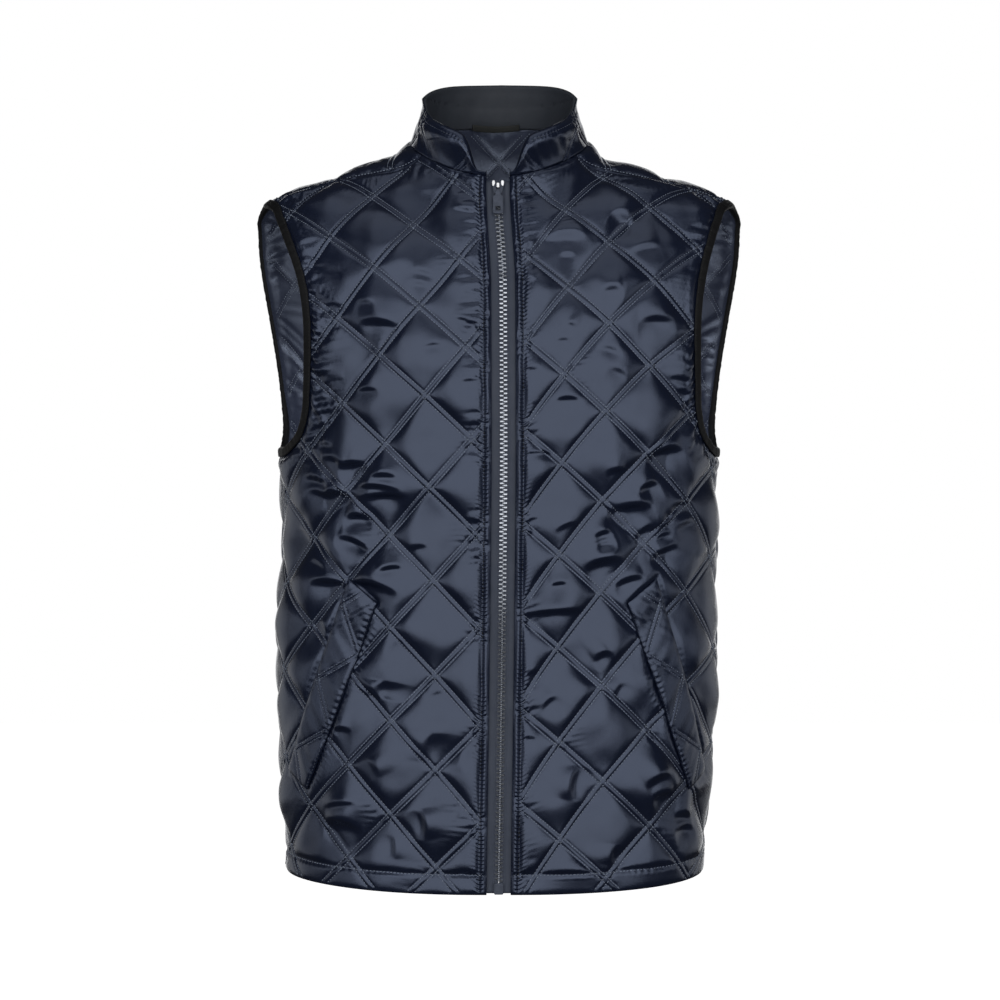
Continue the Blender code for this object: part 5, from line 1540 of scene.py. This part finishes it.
def welt(name, side, seed):
    a = np.r_[0, 0.0006, 0.0016, np.arange(0.003, WELT_LONG - 0.003, 0.00135), WELT_LONG - 0.0016, WELT_LONG - 0.0006, WELT_LONG]
    b = np.r_[0, 0.0005, 0.0013, np.linspace(0.0024, WELT_WIDTH - 0.0028, 25), WELT_WIDTH - 0.0016, WELT_WIDTH - 0.0007, WELT_WIDTH - 0.0002, WELT_WIDTH]
    A, B = np.meshgrid(a, b, indexing="ij")
    A = A + WELT_SLANT * (1 - A / WELT_LONG) * (1 - B / WELT_WIDTH)
    p, n = welt_surface(A.ravel(), B.ravel())
    mirror = np.array([float(side), 1.0, 1.0])
    p, n = p * mirror, n * mirror
    q = settle(p, n)
    top = q + n * welt_height(A.ravel(), B.ravel(), seed)[:, None]
    low = q + n * WELT_UNDER
    na, nb = A.shape
    idx = np.arange(na * nb).reshape(na, nb)
    ring = np.r_[idx[0, :-1], idx[:-1, -1], idx[-1, :0:-1], idx[:0:-1, 0]]
    quads = np.stack([idx[:-1, :-1], idx[:-1, 1:], idx[1:, 1:], idx[1:, :-1]], -1).reshape(-1, 4)
    under = np.where(np.isin(np.arange(na * nb), ring), np.arange(na * nb), np.arange(na * nb) + na * nb)
    low_quads = under[quads][:, ::-1]
    verts = np.vstack([top, low])
    faces = np.vstack([quads, low_quads])
    used = np.unique(faces)
    new = np.full(len(verts), -1)
    new[used] = np.arange(len(used))
    verts, faces = verts[used], new[faces]
    if np.dot(np.cross(top[idx[40, 11]] - top[idx[40, 10]], top[idx[41, 10]] - top[idx[40, 10]]), n[idx[40, 10]]) < 0:
        faces = faces[:, ::-1]
    flat_uv = np.vstack([np.stack([B.ravel(), -A.ravel()], 1)] * 2)[used]
    ob = mesh_object(name + "_cloth", verts, faces, NAVY, flat_uv)
    finish_piece(ob, "vest", "navy_nylon", name)
    # twin quilting rows and the seam's own stitches
    starts, ends = [], []
    fine = np.stack(np.meshgrid(np.arange(0.004, WELT_LONG - 0.004, 0.0004), np.arange(0.005, WELT_WIDTH - 0.002, 0.0004), indexing="ij"), -1).reshape(-1, 2)
    fine = fine[fine[:, 0] > 0.004 + WELT_SLANT * (1 - fine[:, 1] / WELT_WIDTH)]
    pq = welt_quilt(fine[:, 0], fine[:, 1])
    for axis in (0, 1):
        for k in np.arange(np.floor(pq[:, axis].min()), np.ceil(pq[:, axis].max()) + 1):
            for row in (-ROW, ROW):
                on = fine[np.abs(pq[:, axis] - k - row) < 0.0035]
                if len(on) < 8:
                    continue
                line = on[np.argsort(on[:, 0] + 0.3 * on[:, 1])]
                reach = np.linalg.norm(line[-1] - line[0])
                at = np.arange(0, reach - 0.002, STITCH) / max(reach, 1e-6)
                first = line[:5].mean(0)
                last = line[-5:].mean(0)
                starts.append(first + (last - first) * at[:, None])
                ends.append(first + (last - first) * (at + 0.72 * STITCH / reach)[:, None])
    def sewn(ending, first, last, thread):
        out = []
        for ab in (first, last):
            p, n = welt_surface(ab[:, 0], ab[:, 1])
            p, n = p * mirror, n * mirror
            out.append(settle(p, n) + n * welt_height(ab[:, 0], ab[:, 1], seed)[:, None])
        wide = THREAD if thread is THREADS else 0.0006
        return finish_piece(grains(name + ending, out[0], out[1], n, wide, 0.0005, thread), "vest", "navy_nylon")
    u = np.arange(WELT_SLANT + 0.003, WELT_LONG - 0.005, 0.0034)
    near = np.full(len(u), 0.0014)
    rows = [sewn("_quilting", np.vstack(starts), np.vstack(ends), THREADS),
            sewn("_seam_stitches", np.stack([u, near], 1), np.stack([u + 0.0024, near], 1), SEAM_THREADS)]
    return ob

welts = [welt("pocket_welt_left", 1, 3), welt("pocket_welt_right", -1, 6)]

# -------------------------------------------------------------------- zip
def zip_line(x, z):
    p = onto(np.stack([x, np.full(len(x), -0.12), z], 1), along=np.array([0, 1.0, 0]))
    n = normals(p)
    return settle(p, n), n

ZIP_LOW = float(FRONT.grid[0, 0, 2]) + 0.0015
ZIP_HIGH = float(FRONT.grid[FRONT.mid - 1, 0, 2]) - 0.0050
TAPE_OUT = -PANEL_WALL - 2 * GAP
TAPE_SECTION = [(0.0003, 0.0), (0.0006, 0.10), (0.0030, 0.16), (0.0050, 0.18), (0.0052, 0.02), (0.0056, 0.02), (0.0058, 0.18),
                (0.0085, 0.14), (0.0120, 0.10), (0.0160, 0.05), (0.0192, 0.0), (0.0195, -0.4),
                (0.0192, -0.85), (0.0120, -0.85), (0.0060, -0.85), (0.0006, -0.85), (0.0003, -0.5)]
z_rows = np.linspace(ZIP_LOW, ZIP_HIGH, 300)
for name, side in (("zip_tape_left", 1), ("zip_tape_right", -1)):
    rings = []
    for x, h in TAPE_SECTION:
        mirror = np.array([float(side), 1, 1])
        raw = onto(np.stack([np.full(len(z_rows), x), np.full(len(z_rows), -0.12), z_rows], 1), along=np.array([0, 1.0, 0]))
        nn = normals(raw)
        q = settle(raw * mirror, nn * mirror)
        rings.append(q + nn * mirror * (TAPE_OUT + 0.001 * h))
    uv = np.stack([np.repeat(z_rows, len(TAPE_SECTION)), np.tile([x for x, _ in TAPE_SECTION], len(z_rows))], 1)
    ob = ring_tube(name + "_web", np.stack(rings, 1), TAPE, uv)
    finish_piece(ob, "vest", "navy_zip_tape", name)

PITCH = 0.0042
CHAIN_LOW = ZIP_LOW + 0.0105
CHAIN_HIGH = SLIDER_Z - SLIDER_H / 2 - 2 * GAP
def tooth_ring(x0, x1, z, cut, out):
    return [(x0 + cut, -z, out), (x1 - cut, -z, out), (x1, -z + cut, out), (x1, z - cut, out),
            (x1 - cut, z, out), (x0 + cut, z, out), (x0, z - cut, out), (x0, -z + cut, out)]
TOOTH = np.array(tooth_ring(-0.8, 3.9, 0.88, 0.30, 0.3) + tooth_ring(-0.9, 4.0, 0.94, 0.35, 1.4)
                 + tooth_ring(0.3, 3.5, 0.70, 0.30, 2.15)) * 0.001
tooth_faces = []
for r in range(2):
    for k in range(8):
        a, b, c, d = 8 * r + k, 8 * r + (k + 1) % 8, 8 * r + 8 + (k + 1) % 8, 8 * r + 8 + k
        tooth_faces += [(a, b, c), (a, c, d)]
tooth_faces += [(16, 16 + k, 17 + k) for k in range(1, 7)] + [(0, k + 1, k) for k in range(1, 7)]
tooth_faces = np.array(tooth_faces)
verts, faces = [], []
count = int((CHAIN_HIGH - CHAIN_LOW - 0.002) / PITCH)
for side in (1, -1):
    z = CHAIN_LOW + 0.0012 + PITCH * (np.arange(count) + (0.5 if side < 0 else 0.0))
    z = z[z < CHAIN_HIGH - 0.001]
    p, n = zip_line(0 * z, z)
    up = np.cross(np.array([1.0, 0, 0]), n)
    up *= np.sign(up[:, 2:])
    up /= np.linalg.norm(up, axis=1, keepdims=True)
    # the chain lies in slow waves, so its crowns catch the light unevenly
    bright = np.exp(-((z + 0.167) / 0.036) ** 2) + np.exp(-((z + 0.348) / 0.034) ** 2) + 0.45 * ease((z + 0.50) / 0.06) * ease((-0.12 - z) / 0.04)
    tilt = (np.radians(np.where(z > -0.26, 23.0, -16.0)) * (1 - np.clip(bright, 0, 1)))[:, None]
    n, up = n * np.cos(tilt) + up * np.sin(tilt), up * np.cos(tilt) - n * np.sin(tilt)
    for k in range(len(z)):
        v = (p[k] + n[k] * (TAPE_OUT + 0.0002) + np.outer(TOOTH[:, 0] * side, np.array([1.0, 0, 0]))
             + np.outer(TOOTH[:, 1], up[k]) + np.outer(TOOTH[:, 2], n[k]))
        f = tooth_faces + len(verts) * len(TOOTH)
        # outward winding on both sides of the chain
        faces.append(f if side < 0 else f[:, ::-1])
        verts.append(v)
chain_faces = np.vstack(faces)
chain_verts = np.vstack(verts)
q = chain_verts[chain_faces[:len(tooth_faces)]] - chain_verts[:len(TOOTH)].mean(0)
if (q[:, 0] * np.cross(q[:, 1], q[:, 2])).sum() < 0:
    chain_faces = chain_faces[:, ::-1]
teeth = mesh_object("zip_chain_teeth", chain_verts, chain_faces, TEETH, smooth=False)
finish_piece(teeth, "vest", "grey_zip_teeth", "zip_chain")

# slider, box and pull in the slider's own upright frame
sp, sn = zip_line(np.zeros(1), np.array([SLIDER_Z]))
face_out = sn[0]
slider_at = sp[0] + face_out * (TAPE_OUT + SLIDER_LIFT)
face_up = np.cross(np.array([1.0, 0, 0]), face_out)
face_up *= np.sign(face_up[2])
face_up /= np.linalg.norm(face_up)
face_x = np.array([1.0, 0, 0])

def plate(name, loops, low, high, bevel, origin, x_dir, y_dir, z_dir, material):
    """Flat shape with holes, its edges rounded, between two heights."""
    cu = bpy.data.curves.new(name, "CURVE")
    cu.dimensions, cu.fill_mode = "2D", "BOTH"
    cu.extrude, cu.bevel_depth, cu.bevel_resolution, cu.offset = (high - low) / 2 - bevel, bevel, 2, -bevel
    for loop_pts in loops:
        sp = cu.splines.new("POLY")
        sp.points.add(len(loop_pts) - 1)
        for pt, (x, y) in zip(sp.points, loop_pts):
            pt.co = (x, y, 0, 1)
        sp.use_cyclic_u = True
    tmp = bpy.data.objects.new(name, cu)
    bpy.context.scene.collection.objects.link(tmp)
    graph = bpy.context.evaluated_depsgraph_get()
    me = bpy.data.meshes.new_from_object(tmp.evaluated_get(graph))
    bpy.data.objects.remove(tmp, do_unlink=True)
    co = np.empty(len(me.vertices) * 3, np.float32)
    me.vertices.foreach_get("co", co)
    co = co.reshape(-1, 3)
    q = origin + np.outer(co[:, 0], x_dir) + np.outer(co[:, 1], y_dir) + np.outer(co[:, 2] + (low + high) / 2, z_dir)
    me.calc_loop_triangles()
    tris = np.empty(len(me.loop_triangles) * 3, np.int32)
    me.loop_triangles.foreach_get("vertices", tris)
    return q, tris.reshape(-1, 3)

def rounded(x0, x1, y0, y1, r, steps=5):
    pts = []
    for cx, cy, start in ((x1 - r, y1 - r, 0), (x0 + r, y1 - r, 90), (x0 + r, y0 + r, 180), (x1 - r, y0 + r, 270)):
        for k in range(steps + 1):
            a = math.radians(start + 90 * k / steps)
            pts.append((cx + r * math.cos(a), cy + r * math.sin(a)))
    return pts

def blob(centre, radii, dirs, rings=10, cols=16, square=0.75):
    """Rounded lump: a squarish ellipsoid."""
    th = np.linspace(0, math.pi, rings + 1)[:, None]
    ph = np.linspace(0, 2 * math.pi, cols, endpoint=False)[None]
    power = lambda v: np.sign(v) * np.abs(v) ** square
    x = power(np.sin(th)) * power(np.cos(ph)) * radii[0]
    y = power(np.sin(th)) * power(np.sin(ph)) * radii[1]
    z = power(np.cos(th)) * radii[2] + 0 * ph
    v = (np.asarray(centre) + x[..., None] * dirs[0] + y[..., None] * dirs[1] + z[..., None] * dirs[2]).reshape(-1, 3)
    i, k = np.meshgrid(np.arange(rings), np.arange(cols), indexing="ij")
    a, b = (i * cols + k).ravel(), (i * cols + (k + 1) % cols).ravel()
    c, d = b + cols, a + cols
    return v, np.vstack([np.stack([a, c, b], 1), np.stack([a, d, c], 1)])

def tube(points, radius, dirs, cols=12, flat=1.0):
    """Round wire along points in one plane, its ends closed."""
    pts = np.asarray(points)
    t = np.gradient(pts, axis=0)
    t /= np.linalg.norm(t, axis=1, keepdims=True)
    side = dirs[0]
    rings = []
    for p, d in zip(pts, t):
        up = np.cross(d, side)
        rings.append([p + radius * (math.cos(a) * side * flat + math.sin(a) * up) for a in np.linspace(0, 2 * math.pi, cols, endpoint=False)])
    s = np.array(rings)
    n, m = s.shape[:2]
    i, k = np.meshgrid(np.arange(n - 1), np.arange(m), indexing="ij")
    a, b = (i * m + k).ravel(), (i * m + (k + 1) % m).ravel()
    c, d = b + m, a + m
    tris = [np.stack([a, b, c], 1), np.stack([a, c, d], 1)]
    fan = np.array([(0, q + 1, q) for q in range(1, m - 1)])
    tris += [fan, fan[:, ::-1] + (n - 1) * m]
    return s.reshape(-1, 3), np.vstack(tris)

def joined(name, parts, material, smooth=True):
    verts, faces, base = [], [], 0
    for v, f in parts:
        q = np.asarray(v)[f]
        q = q - np.asarray(v).mean(0)
        if (q[:, 0] * np.cross(q[:, 1], q[:, 2])).sum() < 0:
            f = f[:, ::-1]
        verts.append(v)
        faces.append(f + base)
        base += len(v)
    ob = mesh_object(name, np.vstack(verts), np.vstack(faces), material, smooth=smooth)
    ob.data.set_sharp_from_angle(angle=math.radians(40))
    return ob

def at(x, up, out):
    return slider_at + face_x * x + face_up * up + face_out * out

dirs = (face_x, face_up, face_out)
h, t = SLIDER_H / 2, SLIDER_T
outline = [(-6.1, 4.6), (-5.5, 6.0), (-3.6, 6.45), (-2.3, 5.4), (-1.3, 3.6), (0, 2.9), (1.3, 3.6), (2.3, 5.4), (3.6, 6.45), (5.5, 6.0), (6.1, 4.6),
           (5.8, 2.2), (4.8, -2.4), (4.2, -5.6), (3.5, -6.4), (-3.5, -6.4), (-4.2, -5.6), (-4.8, -2.4), (-5.8, 2.2)]
outline = [(x * 0.001, y * 0.001) for x, y in outline]
slider_parts = [plate("slider", [outline], 0.0001, 0.0013, 0.0004, slider_at, *dirs, BRIGHT),
                plate("slider", [outline], 0.0030, 0.0042, 0.0004, slider_at, *dirs, BRIGHT),
                blob(at(0, 1.9e-3, 2.2e-3), (1.5e-3, 1.5e-3, 2.0e-3), dirs)]
wing = [(-6.0, 4.4), (-5.5, 6.0), (-3.7, 6.4), (-2.6, 5.3), (-2.8, 2.8), (-3.7, 0.7), (-5.0, 0.3), (-5.7, 2.0)]
for flip in (1, -1):
    slider_parts.append(plate("wing", [[(x * 0.001 * flip, y * 0.001) for x, y in wing][::flip]], 0.0036, 0.0049, 0.0004, slider_at, *dirs, BRIGHT))
arch = [at(0, 0.0005 + BRIDGE_H / 2 * math.cos(a) * 0.86, t - 0.0004 + (BRIDGE_RISE + 0.0008) * math.sin(a) ** 0.8) for a in np.linspace(0.0, math.pi, 21)]
slider_parts.append(tube(arch, 0.00066, dirs, 12, 2.1))
slider_parts.append(plate("bridge", [rounded(-0.0014, 0.0014, -0.0019, 0.0029, 0.0008)], 0.0064, 0.0076, 0.0003, slider_at, *dirs, BRIGHT))
slider = joined("zip_slider_body", slider_parts, BRIGHT)
# the plates are painted like the pull; wings, post and bridge are bare
slider.data.materials.append(PULL)
painted = sum(len(f) for _, f in slider_parts[:2])
slider.data.polygons.foreach_set("material_index", np.r_[np.ones(painted, np.int32), np.zeros(len(slider.data.polygons) - painted, np.int32)])
finish_piece(slider, "vest", "bright_slider", "zip_slider")

# pull: a bar under the bridge, a narrow neck and a plate with a square hole
axis_up, axis_out = 0.0005, t + GAP + BAR / 2 + 0.0001
tab_low = axis_up + BAR / 2 - TAB_LONG
w = TAB_W / 2
neck_w = 0.0027
body_top = axis_up - 0.0100
tab_outline = ([(neck_w, axis_up + BAR / 2), (-neck_w, axis_up + BAR / 2), (-neck_w, body_top + 0.0010), (-w + 0.0007, body_top), (-w, body_top - 0.0008)]
               + rounded(-w, w, tab_low, body_top, 0.0016)[12:24]
               + [(w, body_top - 0.0008), (w - 0.0007, body_top), (neck_w, body_top + 0.0010)])
window = rounded(-BRIDGE_W / 2 - 0.0006, BRIDGE_W / 2 + 0.0006, axis_up - BAR / 2 - 0.0042, axis_up - BAR / 2, 0.0006, 3)
slot_mid = tab_low + 0.0052
hole = rounded(-TAB_SLOT[0] / 2 - 0.0002, TAB_SLOT[0] / 2 + 0.0002, slot_mid - TAB_SLOT[1] / 2 - 0.0002, slot_mid + TAB_SLOT[1] / 2 + 0.0002, 0.0005, 3)
pull_parts = [plate("pull", [tab_outline, window, hole], axis_out - TAB_T / 2, axis_out + TAB_T / 2, 0.0003, slider_at, *dirs, PULL)]
rim = rounded(-TAB_SLOT[0] / 2 - 0.0007, TAB_SLOT[0] / 2 + 0.0007, slot_mid - TAB_SLOT[1] / 2 - 0.0007, slot_mid + TAB_SLOT[1] / 2 + 0.0007, 0.0009, 3)
pull_parts.append(plate("pull", [rim, rounded(-TAB_SLOT[0] / 2, TAB_SLOT[0] / 2, slot_mid - TAB_SLOT[1] / 2, slot_mid + TAB_SLOT[1] / 2, 0.0005, 3)],
                        axis_out, axis_out + TAB_T / 2 + 0.0003, 0.0001, slider_at, *dirs, PULL))
pull = joined("zip_pull_tab", pull_parts, PULL)
finish_piece(pull, "pull", "dark_pull", "zip_pull")

# retaining box at the foot of the chain
bp, bn = zip_line(np.zeros(1), np.array([ZIP_LOW + 0.0054]))
bup = np.cross(np.array([1.0, 0, 0]), bn[0])
bup *= np.sign(bup[2])
bup /= np.linalg.norm(bup)
box_at = bp[0] + bn[0] * TAPE_OUT
bdirs = (face_x, bup, bn[0])
box_parts = [plate("box", [rounded(-0.0044, 0.0044, -0.0064, 0.0046, 0.0012)], 0.0003, 0.0031, 0.0005, box_at, *bdirs, PULL),
             plate("box", [rounded(-0.0030, 0.0030, -0.0034, 0.0030, 0.0009)], 0.0029, 0.0034, 0.0002, box_at, *bdirs, PULL)]
box = joined("zip_box_body", box_parts, PULL)
finish_piece(box, "vest", "dark_pull", "zip_box")
# ----------------------------------------------------------- stage, camera
cam = bpy.data.cameras.new("camera")
cam.sensor_width, cam.lens = 36.0, 100.66
cam.clip_start, cam.clip_end = 0.05, 60.0
cam_ob = bpy.data.objects.new("camera", cam)
cam_ob.location = (0.0010, -2.80, -0.3555)
cam_ob.rotation_euler = (math.radians(90), 0, 0)
bpy.context.scene.collection.objects.link(cam_ob)
bpy.context.scene.camera = cam_ob

def area_light(name, place, look_at, size, watts, colour=(1, 1, 1)):
    li = bpy.data.lights.new(name, "AREA")
    li.shape, li.size, li.size_y, li.energy, li.color = "RECTANGLE", size[0], size[1], watts, colour
    ob = bpy.data.objects.new(name, li)
    ob.location = place
    ob.rotation_euler = (Vector(look_at) - Vector(place)).to_track_quat("-Z", "Y").to_euler()
    bpy.context.scene.collection.objects.link(ob)
    return ob

area_light("front_soft", (0.0, -3.3, 0.26), (0, 0, 0.26), (8.0, 4.0), 144)
area_light("top_soft", (0.0, -1.4, 3.4), (0, -0.2, -0.1), (4.5, 3.0), 26)
area_light("back_soft", (0.0, 3.4, 0.0), (0, 0, -0.36), (4.0, 3.2), 44)
for side in (-1, 1):
    area_light("front_side_soft", (4.3 * side, -1.2, -0.66), (0, 0, -0.66), (3.0, 1.4), 8.5)
    area_light("side_soft", (2.7 * side, 1.5, -0.76), (0, 0, -0.76), (2.4, 1.4), 6.0)
# a little light in the hollow, as from a shot of the lining alone
inner = area_light("hollow_soft", (0.0, -0.055, -0.30), (0, 0.2, -0.30), (0.22, 0.24), 0.34)
inner.visible_camera = False
for side in (-1, 1):
    area_light("hollow_side_soft", (0.02 * side, 0.0, -0.19), (0.3 * side, 0.02, -0.19), (0.12, 0.26), 0.05).visible_camera = False

world = bpy.data.worlds.new("studio")
bpy.context.scene.world = world
world.use_nodes = True
wt = world.node_tree
bg = wt.nodes["Background"]
bg.inputs["Color"].default_value = (1.0, 1.0, 1.0, 1.0)
bg.inputs["Strength"].default_value = 0.03
white = wt.nodes.new("ShaderNodeBackground")
white.inputs["Color"].default_value = (1.0, 1.0, 1.0, 1.0)
white.inputs["Strength"].default_value = 1.0
mix, path = wt.nodes.new("ShaderNodeMixShader"), wt.nodes.new("ShaderNodeLightPath")
wt.links.new(path.outputs["Is Camera Ray"], mix.inputs["Fac"])
wt.links.new(bg.outputs["Background"], mix.inputs[1])
wt.links.new(white.outputs["Background"], mix.inputs[2])
wt.links.new(mix.outputs["Shader"], wt.nodes["World Output"].inputs["Surface"])

# plain pale floor, well under the hanging vest
fm, ft, fb = nodes_of("pale_floor")
fc = ft.nodes.new("ShaderNodeTexCoord").outputs["Object"]
pale = ramp_node(ft, noise_node(ft, fc, 2.0), (0.3, (0.97, 0.97, 0.97)), (0.7, (1.0, 1.0, 1.0)))
ft.links.new(pale, fb.inputs["Base Color"])
ft.links.new(pale, fb.inputs["Emission Color"])
fb.inputs["Emission Strength"].default_value = 1.0
fb.inputs["Roughness"].default_value = 0.9
floor = mesh_object("floor", [(-9, -9, -1.30), (9, -9, -1.30), (9, 9, -1.30), (-9, 9, -1.30)], [(0, 1, 2, 3)], fm)
floor.visible_diffuse = floor.visible_glossy = False

bpy.context.scene.view_settings.view_transform = "Standard"
